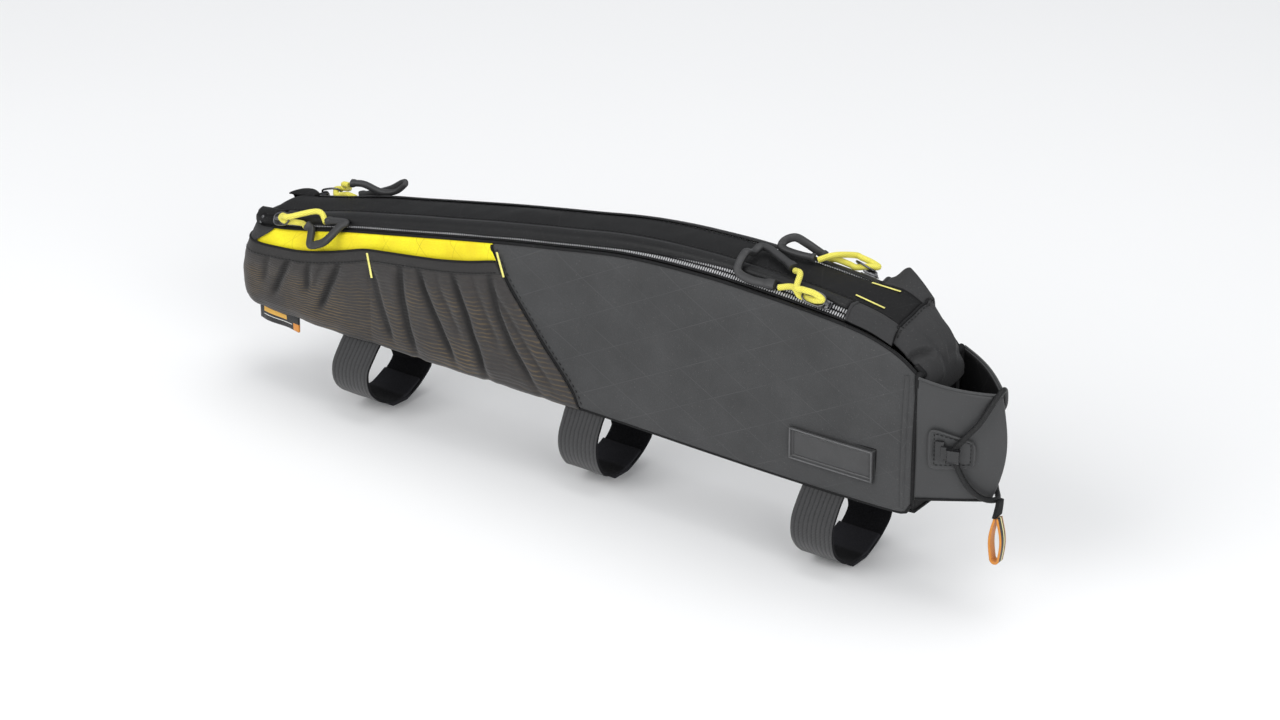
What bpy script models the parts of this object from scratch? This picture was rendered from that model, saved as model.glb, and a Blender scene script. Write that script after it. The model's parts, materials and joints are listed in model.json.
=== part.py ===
"""A long, slim top tube bag for a bicycle.

+X points to the front of the bicycle, +Z up. The origin lies on the underside of
the base, at the middle strap, where the bag sits on the top tube. Lengths are metres.
"""

import math
from collections import namedtuple

import bmesh
import bpy
from mathutils import Vector

MM = 0.001

# Body
BODY_LENGTH = 439 * MM
REAR_TO_ORIGIN = 237 * MM
REAR_END = -REAR_TO_ORIGIN
FRONT_END = BODY_LENGTH - REAR_TO_ORIGIN
BODY_WIDTH = 51 * MM
SEAM_HEIGHT = 98.5 * MM
TOP_RISE = 8 * MM
TOP_CROWN = 1.6 * MM
TOP_PANEL_WIDTH = 23 * MM
SIDE_BULGE = 1.2 * MM
TOP_NARROWING = 0.93
FOOT_ROUNDING = 3 * MM
SHOULDER_ROUNDING = 2.5 * MM
REAR_LEAN = 8 * MM
REAR_BELLY = 16 * MM
REAR_LEAN_REACH = 0.2
REAR_CORNER = 12 * MM
CLOTH = 1.2 * MM
GAP = 0.35 * MM

# Side pocket
POCKET_CLOTH = 1.0 * MM
POCKET_PLEAT = 1.6 * MM
POCKET_MOUTH = 1.6 * MM
HEM_WIDTH = 7 * MM

# Zips
COIL_WIDTH = 4.4 * MM
COIL_HEIGHT = 1.5 * MM
FLAP_WIDTH = 4.2 * MM
FLAP_HEIGHT = 1.9 * MM
ZIP_TAPE = 0.8 * MM
SLIDER_LENGTH = 9 * MM
SLIDER_WIDTH = 6.4 * MM
SLIDER_HEIGHT = 3 * MM
RING_LENGTH = 12 * MM
RING_WIDTH = 8.5 * MM
RING_WIRE = 1.5 * MM
PULL_CORD = 3.2 * MM
HANDLE_THICKNESS = 4.8 * MM

# Front hood and front pocket
HOOD_SEAM = 0.962
HOOD_REACH = 22.5 * MM
HOOD_FOOT = 64 * MM
FOLD_HEIGHT = 15 * MM
FOLD_BEHIND = 14 * MM
FOLD_LENGTH = 20 * MM
POCKET_DEPTH = 35.5 * MM
POCKET_BULGE = 4 * MM
POCKET_FOOT = 9.5 * MM
POCKET_RIM = 77.5 * MM
POCKET_RIM_DROP = 8 * MM
POCKET_WALL = 1.4 * MM
BUNGEE = 3.0 * MM
PATCH_THICKNESS = 1.2 * MM

# Straps
STRAP_WIDTH = 25 * MM
STRAP_THICKNESS = 1.8 * MM
STRAP_PITCH = 150.5 * MM

# Trim
BADGE_LENGTH = 50 * MM
BADGE_HEIGHT = 18.5 * MM
BADGE_THICKNESS = 1.8 * MM
BADGE_FRONT = 182 * MM
BADGE_MIDDLE = 23.5 * MM
TAB_LENGTH = 31 * MM
TAB_DROP = 10.5 * MM
TAB_INSET = 9 * MM
TAB_THICKNESS = 1.4 * MM
RIBBON_WIDTH = 7 * MM
RIBBON_DROP = 26 * MM
RIBBON_ASIDE = -4 * MM
RIBBON_THICKNESS = 1.1 * MM
TAB_HEIGHT = 10 * MM

RIGHT = -1
LEFT = 1

# Shares of the length, of half the width and of the seam's height.
Section = namedtuple("Section", "along half_width seam")
SECTIONS = (
    Section(0.00, 0.83, 0.47),
    Section(0.05, 0.86, 0.50),
    Section(0.18, 0.93, 0.62),
    Section(0.40, 0.92, 0.817),
    Section(0.50, 0.92, 0.897),
    Section(0.60, 0.94, 0.970),
    Section(0.71, 0.98, 1.000),
    Section(0.80, 1.00, 0.994),
    Section(0.88, 0.99, 0.973),
    Section(0.93, 0.97, 0.945),
    Section(0.96, 0.95, 0.905),
    Section(0.98, 0.92, 0.860),
    Section(1.00, 0.86, 0.785),
)


def follow(rows, at, column):
    """The column's value at a place in the first column, on a smooth curve through the rows."""
    keys = [row[0] for row in rows]
    values = [getattr(row, column) for row in rows]
    if at <= keys[0]:
        return values[0]
    if at >= keys[-1]:
        return values[-1]
    index = max(i for i, key in enumerate(keys) if key <= at)
    slopes = []
    for i in (index, index + 1):
        low, high = max(i - 1, 0), min(i + 1, len(keys) - 1)
        slopes.append((values[high] - values[low]) / (keys[high] - keys[low]))
    span = keys[index + 1] - keys[index]
    t = (at - keys[index]) / span
    hold = 2 * t**3 - 3 * t**2 + 1
    return (
        values[index] * hold
        + values[index + 1] * (1 - hold)
        + slopes[0] * span * (t**3 - 2 * t**2 + t)
        + slopes[1] * span * (t**3 - t**2)
    )


def mix(low, high, t):
    return low + (high - low) * t


def ease(t):
    """0 to 1, level at both ends."""
    t = min(max(t, 0.0), 1.0)
    return t * t * (3 - 2 * t)


def x_at(along):
    return along * BODY_LENGTH - REAR_TO_ORIGIN


def along_at(x):
    return (x + REAR_TO_ORIGIN) / BODY_LENGTH


def half_width(along):
    return follow(SECTIONS, along, "half_width") * BODY_WIDTH / 2


def seam_height(along):
    return follow(SECTIONS, along, "seam") * SEAM_HEIGHT


def lean(along, z):
    """How far the rear end leans forward above and below its belly, fading out along the bag."""
    fade = 1 - ease(along / REAR_LEAN_REACH)
    away = (min(z, seam_height(along)) - REAR_BELLY) / (seam_height(0) - REAR_BELLY)
    return REAR_LEAN * fade * away * away


def side_turn(along, up):
    """How far the side has turned in at its foot (below 0) or at its shoulder (above 0), as a sine."""
    foot = min(max(0.0, 1 - up * seam_height(along) / FOOT_ROUNDING), 1.0)
    shoulder = min(max(0.0, 1 - (1 - up) * seam_height(along) / SHOULDER_ROUNDING), 1.0)
    return shoulder - foot


def side_offset(along, up):
    """Half the width at a share of the side's height, with its bulge and its rounded edges."""
    turned = side_turn(along, up)
    radius = SHOULDER_ROUNDING if turned > 0 else FOOT_ROUNDING
    return (
        half_width(along) * mix(1, TOP_NARROWING, up)
        + SIDE_BULGE * math.sin(math.pi * min(max(up, 0.0), 1.0))
        - radius * (1 - math.sqrt(1 - turned * turned))
    )


def lane_foot(along):
    """Half the width at the zip's outer edge, just inside the side's shoulder."""
    return half_width(along) * TOP_NARROWING - SHOULDER_ROUNDING - 3 * GAP


CORNER_SHARE = REAR_CORNER / BODY_LENGTH
CORNER_TURN = math.radians(80)


def side_point(side, walk, up, out=0.0):
    """A point of a side's outer face. walk goes from the rear seam (0) to the front (1)."""
    turn = CORNER_TURN * max(0.0, 1 - walk / CORNER_SHARE)
    along = CORNER_SHARE * (1 - math.sin(turn)) if turn else walk
    z = up * seam_height(along)
    reach = side_offset(max(along, CORNER_SHARE), up) - REAR_CORNER * (1 - math.cos(turn))
    turned = side_turn(along, up)
    level = math.sqrt(1 - turned * turned)
    normal = Vector((-math.sin(turn) * level, side * math.cos(turn) * level, turned))
    return Vector((x_at(along) + lean(along, z), side * reach, z)) + normal * out


def lane_point(side, along, across, out=0.0):
    """A point between a side's top seam (across 0) and the top panel's edge (across 1)."""
    low = Vector((side * lane_foot(along), seam_height(along)))
    high = Vector((side * TOP_PANEL_WIDTH / 2, seam_height(along) + TOP_RISE))
    run = high - low
    normal = Vector((side * run.y, abs(run.x))).normalized()
    at = low + run * across + normal * (out + TOP_CROWN * math.sin(math.pi * across))
    return Vector((x_at(along) + lean(along, low.y), at.x, at.y))


def top_point(along, across, out=0.0):
    """A point of the top panel. across goes from its right edge (-1) to its left edge (1)."""
    z = seam_height(along) + TOP_RISE + TOP_CROWN * (1 - across * across) + out
    return Vector((x_at(along) + lean(along, z), across * TOP_PANEL_WIDTH / 2, z))


def top_along(x):
    """The share of the length whose top, with the rear end's lean, lies at this x."""
    along = along_at(x)
    for _ in range(6):
        along = along_at(x - lean(along, seam_height(along) + TOP_RISE))
    return along


def deck(x, y):
    """Height of the bag's top at a place, with the zip's coil and rolled edge on it, and its steepness."""
    along = top_along(x)
    edge = TOP_PANEL_WIDTH / 2
    run = lane_foot(along) - edge
    across = (lane_foot(along) - abs(y)) / run
    steep = math.hypot(run, TOP_RISE) / run
    if across >= 1:
        height = seam_height(along) + TOP_RISE + TOP_CROWN * (1 - (y / edge) ** 2)
        return height, mix(steep, 1, ease((across - 1) / 0.4))
    bump = FLAP_HEIGHT if across > 0.55 else COIL_HEIGHT
    crown = TOP_CROWN * math.sin(math.pi * max(across, 0)) + bump * ease((across + 0.3) / 0.3)
    return seam_height(along) + TOP_RISE * max(across, 0) + crown * steep, steep


def material(name, colour, roughness, metallic=0.0):
    found = bpy.data.materials.get(name)
    if found:
        return found
    made = bpy.data.materials.new(name)
    made.use_nodes = True
    shader = made.node_tree.nodes["Principled BSDF"]
    shader.inputs["Base Color"].default_value = (*colour, 1)
    shader.inputs["Roughness"].default_value = roughness
    shader.inputs["Metallic"].default_value = metallic
    return made


def grey_cloth():
    return material("grey_cloth", (0.065, 0.065, 0.066), 0.8)


def black_cloth():
    return material("black_cloth", (0.022, 0.022, 0.023), 0.75)


def yellow_cloth():
    return material("yellow_cloth", (0.9, 0.7, 0.02), 0.6)


def mesh_cloth():
    return material("mesh_cloth", (0.055, 0.05, 0.042), 0.8)


def coated_cloth():
    return material("coated_cloth", (0.07, 0.07, 0.071), 0.5)


def strap_webbing():
    return material("strap_webbing", (0.05, 0.05, 0.05), 0.9)


def grey_rubber():
    return material("grey_rubber", (0.14, 0.14, 0.142), 0.55)


def yellow_cord():
    return material("yellow_cord", (0.95, 0.85, 0.14), 0.7)


def black_plastic():
    return material("black_plastic", (0.02, 0.02, 0.021), 0.35)


def dark_metal():
    return material("dark_metal", (0.1, 0.1, 0.1), 0.3, 1.0)


def orange_ribbon():
    return material("orange_ribbon", (0.7, 0.3, 0.03), 0.6)


def add_object(name, mesh, finish):
    mesh.materials.append(finish)
    mesh.shade_smooth()
    mesh.set_sharp_from_angle(angle=math.radians(35))
    made = bpy.data.objects.new(name, mesh)
    bpy.context.scene.collection.objects.link(made)
    return made


def mesh_from(shape, name):
    mesh = bpy.data.meshes.new(name)
    shape.to_mesh(mesh)
    shape.free()
    return mesh


def sheet(name, finish, columns, rows, place, thickness, flip=False):
    """A sheet of columns by rows: place(u, v) gives its outer face, and its thickness goes inward."""
    shape = bmesh.new()
    bmesh.ops.create_grid(shape, x_segments=columns, y_segments=rows, size=0.5)
    for vert in shape.verts:
        vert.co = place(vert.co.x + 0.5, vert.co.y + 0.5)
    if flip:
        bmesh.ops.reverse_faces(shape, faces=shape.faces[:])
    made = add_object(name, mesh_from(shape, name), finish)
    wall = made.modifiers.new("wall", "SOLIDIFY")
    wall.thickness = thickness
    wall.offset = -1
    wall.use_even_offset = False
    return made


def smooth_route(points, steps):
    """Points on a smooth curve through the chosen ones."""
    ends = [2 * points[0] - points[1]] + points + [2 * points[-1] - points[-2]]
    route = []
    for i in range(1, len(ends) - 2):
        a, b, c, d = ends[i - 1 : i + 3]
        for step in range(steps):
            t = step / steps
            route.append(
                0.5 * (2 * b + (c - a) * t + (2 * a - 5 * b + 4 * c - d) * t**2 + (3 * b - a - 3 * c + d) * t**3)
            )
    return route + [points[-1]]


def tube(name, finish, points, thickness, steps=3, resolution=1, closed=False):
    """A round cord through the points."""
    if closed:
        ring = points[-1:] + points + points[:2]
        route = smooth_route(ring, steps)[steps : -steps - 1]
    else:
        route = smooth_route(points, steps)
    curve = bpy.data.curves.new(name, "CURVE")
    curve.dimensions = "3D"
    curve.bevel_depth = thickness / 2
    curve.bevel_resolution = resolution
    curve.use_fill_caps = not closed
    spline = curve.splines.new("POLY")
    spline.points.add(len(route) - 1)
    for point, place in zip(spline.points, route):
        point.co = (*place, 1)
    spline.use_cyclic_u = closed
    curve.materials.append(finish)
    made = bpy.data.objects.new(name, curve)
    bpy.context.scene.collection.objects.link(made)
    return made


# The line where the pocket, its backing and the plain front part of the right side meet,
# from the zip down to the base.
SeamRow = namedtuple("SeamRow", "up along")
POCKET_SEAM = (
    SeamRow(0.00, 0.534),
    SeamRow(0.12, 0.523),
    SeamRow(0.40, 0.478),
    SeamRow(0.75, 0.4275),
    SeamRow(0.95, 0.405),
    SeamRow(1.00, 0.403),
)


def pocket_seam(up):
    return follow(POCKET_SEAM, up, "along")


def walked(u, corner):
    """The walk along a side, with this share of its columns in the rear corner."""
    if u < corner:
        return CORNER_SHARE * u / corner
    return mix(CORNER_SHARE, 1, (u - corner) / (1 - corner))


def gathered(v):
    """Rows of a side, closer together near its foot and its shoulder."""
    return 0.5 - 0.5 * math.cos(math.pi * v)


def make_side_panels():
    foot = GAP / SEAM_HEIGHT
    rows = 8

    def left(u, v):
        return side_point(LEFT, walked(u, 0.2), mix(foot, 1, gathered(v)))

    def right_front(u, v):
        up = mix(foot, 1, gathered(v))
        return side_point(RIGHT, mix(pocket_seam(up) + GAP / BODY_LENGTH, 1, u), up)

    def right_rear(u, v):
        up = mix(foot, 1, gathered(v))
        return side_point(RIGHT, walked(u, 0.28) * pocket_seam(up), up)

    sheet("side_panel_left", grey_cloth(), 22, rows, left, CLOTH, flip=True)
    sheet("side_panel_right", grey_cloth(), 13, rows, right_front, CLOTH)
    sheet("pocket_backing", yellow_cloth(), 14, rows, right_rear, CLOTH)


# Height of the pocket's mouth, as a share of the side's height, and how deep the pleats are there.
MouthRow = namedtuple("MouthRow", "along mouth")
POCKET_MOUTH_LINE = (
    MouthRow(0.00, 0.82),
    MouthRow(0.07, 0.83),
    MouthRow(0.13, 0.83),
    MouthRow(0.205, 0.865),
    MouthRow(0.27, 0.835),
    MouthRow(0.36, 0.845),
    MouthRow(0.405, 0.87),
    MouthRow(0.44, 0.88),
)
POCKET_DIVIDER = 0.205
REAR_PLEATS = 4
FRONT_PLEATS = 6


def mouth_share(along):
    return follow(POCKET_MOUTH_LINE, along, "mouth")


def pleat(along, up):
    """How far the pocket's cloth stands off its backing."""
    end = pocket_seam(up)
    if along < POCKET_DIVIDER:
        share, count = along / POCKET_DIVIDER, REAR_PLEATS
    else:
        share, count = (along - POCKET_DIVIDER) / (end - POCKET_DIVIDER), FRONT_PLEATS
    share = min(max(share, 0.0), 1.0)
    held = math.sin(math.pi * share) ** 0.5
    fold = 0.5 - 0.5 * math.cos(2 * math.pi * count * share)
    mouth = POCKET_MOUTH * ease(up / mouth_share(along))
    return held * (POCKET_PLEAT * fold * ease(up / 0.3) + mouth)


def pocket_point(u, up):
    """A point of the pocket: u along it, and up as a share of the side's height."""
    walk = mix(0.002, 1, walked(u, 0.1)) * pocket_seam(up)
    return side_point(RIGHT, walk, up, GAP + POCKET_CLOTH + pleat(walk, up))


def below_mouth(u, drop):
    """The share of the side's height that lies this far below the pocket's mouth."""
    along = walked(u, 0.1) * pocket_seam(0.8)
    return mouth_share(along) - drop / seam_height(along)


def make_side_pocket():
    def cloth(u, v):
        foot = FOOT_ROUNDING * 1.1 / seam_height(walked(u, 0.1) * pocket_seam(0))
        return pocket_point(u, mix(foot, below_mouth(u, HEM_WIDTH + GAP), v))

    def hem(u, v):
        return pocket_point(u, below_mouth(u, HEM_WIDTH * (1 - v)))

    sheet("pocket_mesh", mesh_cloth(), 40, 5, cloth, POCKET_CLOTH)
    sheet("pocket_hem", black_cloth(), 40, 1, hem, POCKET_CLOTH)


def make_base_and_ends():
    def base(u, v):
        inset = CLOTH + 3 * GAP
        radius = REAR_CORNER - inset
        rear_edge = x_at(0) + lean(0, 0) + inset
        x = mix(rear_edge, x_at(1) - GAP, u**1.6)
        turned = max(0.0, 1 - (x - rear_edge) / radius)
        corner = radius * (1 - math.sqrt(1 - turned * turned))
        reach = half_width(max(along_at(x), CORNER_SHARE)) - FOOT_ROUNDING - inset - corner
        return Vector((x, mix(-reach, reach, v), 0.0))

    def rear(u, v):
        z = mix(GAP, seam_height(0) + TOP_RISE * 0.3, v)
        up = z / seam_height(0)
        reach = side_point(LEFT, 0, up if up < 0.8 else 1).y - 4 * GAP
        bow = 1 - (2 * u - 1) ** 2
        return Vector((x_at(0) + lean(0, z) - 1.5 * MM * bow, mix(reach, -reach, u), z))

    def front(u, v):
        z = mix(CLOTH + GAP, HOOD_FOOT - GAP, v)
        reach = side_offset(1, z / seam_height(1)) - 2 * CLOTH - GAP
        return Vector((x_at(1) - 1 * MM, mix(-reach, reach, u), z))

    sheet("base_panel", black_cloth(), 14, 2, base, CLOTH, flip=True)
    sheet("rear_gusset", grey_cloth(), 6, 5, rear, CLOTH)
    sheet("front_gusset", black_cloth(), 4, 4, front, CLOTH)


TOP_START = 0.035
LANE_START = 0.03
LANE_WIDTH = math.hypot(lane_foot(0.6) - TOP_PANEL_WIDTH / 2, TOP_RISE)
COIL_ACROSS = 0.32
FLAP_REAR = 0.902


def make_top():
    def panel(u, v):
        inset = 1 - 2 * GAP / TOP_PANEL_WIDTH
        return top_point(mix(TOP_START, HOOD_SEAM, u), mix(-inset, inset, v))

    sheet("top_panel", black_cloth(), 22, 4, panel, CLOTH)
    for side, word in ((RIGHT, "right"), (LEFT, "left")):

        def tape(u, v, side=side):
            return lane_point(side, mix(LANE_START, HOOD_SEAM, u), mix(0.03, 0.93, v), -0.6 * MM)

        def coil(u, v, side=side):
            crown = COIL_HEIGHT * (1 - 0.5 * abs(2 * v - 1))
            across = COIL_ACROSS + (v - 0.5) * COIL_WIDTH / LANE_WIDTH
            return lane_point(side, mix(LANE_START + 0.01, FLAP_REAR + 0.01, u), across, crown - 0.3 * MM)

        def flap(u, v, side=side):
            crown = FLAP_HEIGHT * math.sin(math.pi * mix(0.15, 0.85, v))
            across = mix(0.97 - FLAP_WIDTH / LANE_WIDTH, 0.97, v)
            return lane_point(side, mix(LANE_START + 0.03, FLAP_REAR, u), across, crown)

        sheet(f"zip_tape_{word}", black_cloth(), 22, 1, tape, ZIP_TAPE, flip=side == LEFT)
        sheet(f"zip_coil_{word}", black_plastic(), 22, 2, coil, 0.9 * MM, flip=side == LEFT)
        sheet(f"zip_flap_{word}", black_cloth(), 22, 2, flap, 0.9 * MM, flip=side == LEFT)


def make_zip_end_flaps():
    for side, word in ((RIGHT, "right"), (LEFT, "left")):

        def end_flap(u, v, side=side):
            raised = 2.9 * MM + 0.8 * MM * math.sin(math.pi * u)
            across = mix(0.02, 0.95, v)
            at = lane_point(side, mix(FLAP_REAR + 0.004, HOOD_SEAM, u), across, raised)
            return at + Vector((0, 0, fold(side, at.x, across)))

        sheet(f"zip_end_flap_{word}", grey_cloth(), 6, 4, end_flap, CLOTH, flip=side == LEFT)

        def rear_tab(u, v, side=side):
            swell = 3.2 * MM * math.sin(math.pi * mix(0.1, 0.9, u))
            return lane_point(side, mix(0.004, LANE_START - 0.002, u), mix(0.0, 0.95, v), swell)

        sheet(f"zip_rear_tab_{word}", black_cloth(), 4, 4, rear_tab, 1.6 * MM, flip=side == LEFT)


def fold(side, x, across):
    """How far the hood and the flap behind it stand up in a fold along the left zip's end."""
    if side == RIGHT or not 0 < across < 1:
        return 0.0
    away = (x - x_at(HOOD_SEAM) + FOLD_BEHIND) / FOLD_LENGTH
    return FOLD_HEIGHT * math.exp(-away * away) * math.sin(math.pi * across**0.6)


# The hood's line down its middle and down its edges: shares of its reach forward and of its drop.
HoodRow = namedtuple("HoodRow", "down middle_out middle_drop edge_out edge_drop")
HOOD = (
    HoodRow(0.00, 0.00, 0.00, 0.00, 0.00),
    HoodRow(0.20, 0.42, 0.09, 0.30, 0.13),
    HoodRow(0.40, 0.75, 0.24, 0.53, 0.28),
    HoodRow(0.60, 0.96, 0.46, 0.73, 0.46),
    HoodRow(0.80, 1.00, 0.74, 0.83, 0.72),
    HoodRow(1.00, 0.92, 1.00, 0.83, 1.00),
)


def make_hood():
    seam_x = x_at(HOOD_SEAM)
    middle_top = seam_height(HOOD_SEAM) + TOP_RISE + TOP_CROWN + 1.5 * MM

    def hood(u, v):
        across = 2 * v - 1
        middle = 1 - abs(across) ** 2.2
        out = mix(follow(HOOD, u, "edge_out"), follow(HOOD, u, "middle_out"), middle) * HOOD_REACH
        edge_top = seam_height(HOOD_SEAM)
        low = edge_top - (edge_top - HOOD_FOOT) * follow(HOOD, u, "edge_drop")
        high = middle_top - (middle_top - HOOD_FOOT) * follow(HOOD, u, "middle_drop")
        shoulder = lane_foot(min(along_at(seam_x + out), 1))
        inside_pocket = half_width(1) - POCKET_WALL - 3 * GAP
        reach = mix(shoulder, inside_pocket, ease((u - 0.6) / 0.3)) * across
        x = seam_x + 3 * GAP + out
        side_share = (shoulder - reach) / (shoulder - TOP_PANEL_WIDTH / 2)
        return Vector((x, reach, mix(low, high, middle) + fold(LEFT, x, side_share)))

    sheet("front_hood", grey_cloth(), 12, 12, hood, CLOTH)


def band_point(turn, up, out=0.0):
    """A point of the front pocket's wall. turn goes from its right end (-1) round the nose to its left (1)."""
    depth = POCKET_DEPTH + POCKET_BULGE * (math.sin(math.pi * up) - (1 - up) ** 4)
    forward = 1 - abs(turn) ** 1.7
    nose = mix(0.05, 0.12, up)
    wedge = math.sqrt((1 - forward) ** 2 + 2 * nose * (1 - forward)) / math.sqrt(1 + 2 * nose)
    reach = half_width(1) * (wedge + 0.16 * up * math.sin(math.pi * forward))
    top = POCKET_RIM - POCKET_RIM_DROP * forward
    z = mix(POCKET_FOOT, top, up)
    side = math.copysign(1, turn)
    if out:
        step = 0.01
        here = band_point(turn, up)
        along = band_point(min(turn + step, 1), up) - band_point(max(turn - step, -1), up)
        rise = band_point(turn, min(up + step, 1)) - band_point(turn, max(up - step, 0))
        return here + along.cross(rise).normalized() * out
    return Vector((x_at(1) + 3 * GAP + depth * forward, side * reach, z))


def make_front_pocket():
    def band(u, v):
        return band_point(2 * u - 1, v)

    sheet("front_pocket", coated_cloth(), 24, 5, band, POCKET_WALL)

    def floor(u, v):
        edge = band_point(-mix(0.999, 0.32, u), 0.04)
        reach = max(abs(edge.y) - POCKET_WALL * 2 - GAP, 0.6 * MM)
        x = edge.x - POCKET_WALL * 0.5
        return Vector((x, mix(-reach, reach, v), POCKET_FOOT + CLOTH))

    sheet("front_pocket_floor", black_cloth(), 6, 2, floor, CLOTH)


# The sewn patch on the front pocket and its hook: shares of the pocket's turn and height.
PATCH_LOW = 0.29
PATCH_HIGH = 0.63
PATCH_REAR = 0.91
PATCH_FRONT = 0.50
HOOK_TURN = 0.70
HOOK_UP = 0.47


def make_cord_patches():
    for side, word in ((RIGHT, "right"), (LEFT, "left")):

        def patch(u, v, side=side):
            pinch = 0.07 * u * (2 * v - 1)
            turn = mix(PATCH_REAR, PATCH_FRONT, u)
            up = mix(PATCH_LOW, PATCH_HIGH, v) - pinch
            return band_point(side * turn, up, GAP + PATCH_THICKNESS)

        sheet(f"cord_patch_{word}", coated_cloth(), 6, 4, patch, PATCH_THICKNESS, flip=side == LEFT)


def bungee_route():
    lift = GAP * 2 + PATCH_THICKNESS + BUNGEE / 2
    one_side = [
        (0.70, 0.46, lift),
        (0.62, 0.60, lift),
        (0.46, 0.76, lift),
        (0.27, 0.93, lift),
    ]
    low_side = [
        (0.58, 0.22, lift),
        (0.34, 0.08, lift),
    ]
    rise = [band_point(-turn, up, out) for turn, up, out in one_side]
    fall = [band_point(-turn, up, out) for turn, up, out in low_side]
    nose_top = band_point(0.001, 1, 0) + Vector((1 * MM, 0, BUNGEE / 2 + 4 * MM))
    nose_top.y = 0
    nose_low = band_point(0.001, 0.03, 0) + Vector((BUNGEE / 2 + 1.2 * MM, 0, 0))
    nose_low.y = 0
    mirrored = lambda points: [Vector((p.x, -p.y, p.z)) for p in reversed(points)]
    right = list(reversed(fall)) + rise
    return [nose_low] + right + [nose_top] + mirrored(right)


def make_bungee():
    route = bungee_route()
    tube("bungee_cord", black_cloth(), route, BUNGEE, steps=3, resolution=1, closed=True)
    for side, word in ((RIGHT, "right"), (LEFT, "left")):
        at = band_point(side * HOOK_TURN, HOOK_UP, GAP * 2 + PATCH_THICKNESS)
        ahead = band_point(side * (HOOK_TURN - 0.05), HOOK_UP, GAP * 2 + PATCH_THICKNESS)
        forward = (ahead - at).normalized()
        outward = (band_point(side * HOOK_TURN, HOOK_UP, 3 * MM) - at).normalized()
        up = Vector((0, 0, 1))
        length = 8 * MM
        start = BUNGEE / 2 + GAP * 2

        def hook(u, v, at=at, forward=forward, outward=outward, up=up):
            wide = mix(-5.5 * MM, 5.5 * MM, v)
            back = mix(start, start + length, u)
            return at - forward * back + up * wide + outward * 1.8 * MM

        sheet(f"cord_hook_{word}", black_plastic(), 3, 3, hook, 1.8 * MM, flip=side == RIGHT)


def make_pull_ribbon():
    nose = bungee_route()[0]
    top = nose.z + 1 * MM
    x = nose.x + BUNGEE / 2 + GAP
    half = RIBBON_WIDTH / 2

    def tab(u, v):
        aside = RIBBON_ASIDE * (1 - v) ** 1.5
        return Vector((x + RIBBON_THICKNESS * 1.6, mix(-half, half, u) + aside, top - mix(TAB_HEIGHT, 0, v)))

    sheet("pull_tab", black_cloth(), 2, 3, tab, RIBBON_THICKNESS * 1.6)

    def ribbon(u, v):
        strand = 1 - abs(2 * v - 1)
        down = min(strand / 0.8, 1)
        belly = mix(1.5 * MM, 3 * MM, math.sin(math.pi * 0.5 * down))
        round_end = math.pi / 2 * max(0, strand - 0.8) / 0.2
        reach = math.copysign(belly * math.cos(round_end), 2 * v - 1)
        z = top - TAB_HEIGHT - GAP - (RIBBON_DROP - belly) * down - belly * math.sin(round_end)
        return Vector((x + 1.5 * MM - reach, mix(-half, half, u) + RIBBON_ASIDE, z))

    sheet("pull_ribbon", orange_ribbon(), 1, 20, ribbon, RIBBON_THICKNESS)


# Each strap: its place along the bag, how deep its loop hangs, and how far it reaches on each side.
Strap = namedtuple("Strap", "word place drop right_reach left_reach")
STRAPS = (
    Strap("rear", -1, 41 * MM, 35 * MM, 27 * MM),
    Strap("middle", 0, 40 * MM, 30 * MM, 29 * MM),
    Strap("front", 1, 44 * MM, 35 * MM, 32 * MM),
)
# The loop's line on one side: shares of its reach and of its drop.
LoopRow = namedtuple("LoopRow", "walk out down")
LOOP_LINE = (
    LoopRow(0.00, 0.66, 0.00),
    LoopRow(0.14, 0.80, 0.13),
    LoopRow(0.32, 0.97, 0.36),
    LoopRow(0.48, 0.93, 0.64),
    LoopRow(0.62, 0.68, 0.87),
    LoopRow(0.74, 0.36, 0.985),
    LoopRow(0.87, 0.00, 1.00),
    LoopRow(1.00, -0.36, 0.985),
)


def make_straps():
    for strap in STRAPS:
        x = strap.place * STRAP_PITCH
        root = half_width(along_at(x)) - FOOT_ROUNDING * 0.5
        for side, word, reach, inner in (
            (RIGHT, "right", strap.right_reach, True),
            (LEFT, "left", strap.left_reach, False),
        ):

            def tab(u, v, side=side, reach=reach, inner=inner, x=x, strap=strap, root=root):
                out = follow(LOOP_LINE, v, "out")
                start = follow(LOOP_LINE, 0, "out")
                y = root + (out - start) / (1 - start) * (reach - root) if out > start else reach * out
                if out <= start:
                    y = mix(root, 0, (start - out) / start)
                under = ease((v - 0.4) / 0.22)
                step = (STRAP_THICKNESS + GAP) * (0 if inner else 1) * under
                z = -GAP - follow(LOOP_LINE, v, "down") * strap.drop - step
                return Vector((x + mix(-0.5, 0.5, u) * STRAP_WIDTH, side * y, z))

            sheet(
                f"strap_{strap.word}_{word}",
                strap_webbing(),
                1,
                18,
                tab,
                STRAP_THICKNESS,
                flip=side == RIGHT,
            )


def make_badge():
    rows = 5

    def badge(u, v):
        x = BADGE_FRONT - BADGE_LENGTH * (1 - u)
        along = along_at(x)
        z = BADGE_MIDDLE + (v - 0.5) * BADGE_HEIGHT
        border = min(u, 1 - u, v, 1 - v) < 0.03
        out = GAP + BADGE_THICKNESS + (0.5 * MM if border else 0)
        return side_point(RIGHT, along, z / seam_height(along), out)

    sheet("side_badge", grey_rubber(), 10, rows, badge, BADGE_THICKNESS)


def make_label_tab():
    def tab(u, v):
        x = REAR_END + TAB_INSET + TAB_LENGTH * u
        along = along_at(x)
        y = -(half_width(max(along, CORNER_SHARE)) - 2 * MM - 3 * MM * (1 - u) ** 2)
        return Vector((x, y, -GAP - TAB_DROP * (1 - v)))

    sheet("label_tab", black_cloth(), 6, 2, tab, TAB_THICKNESS)


# Pull handles. Each point of a cord or handle is x, y and clearance over the bag, in millimetres.
Pull = namedtuple("Pull", "word side slider heading cord_a cord_b handle")


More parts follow.
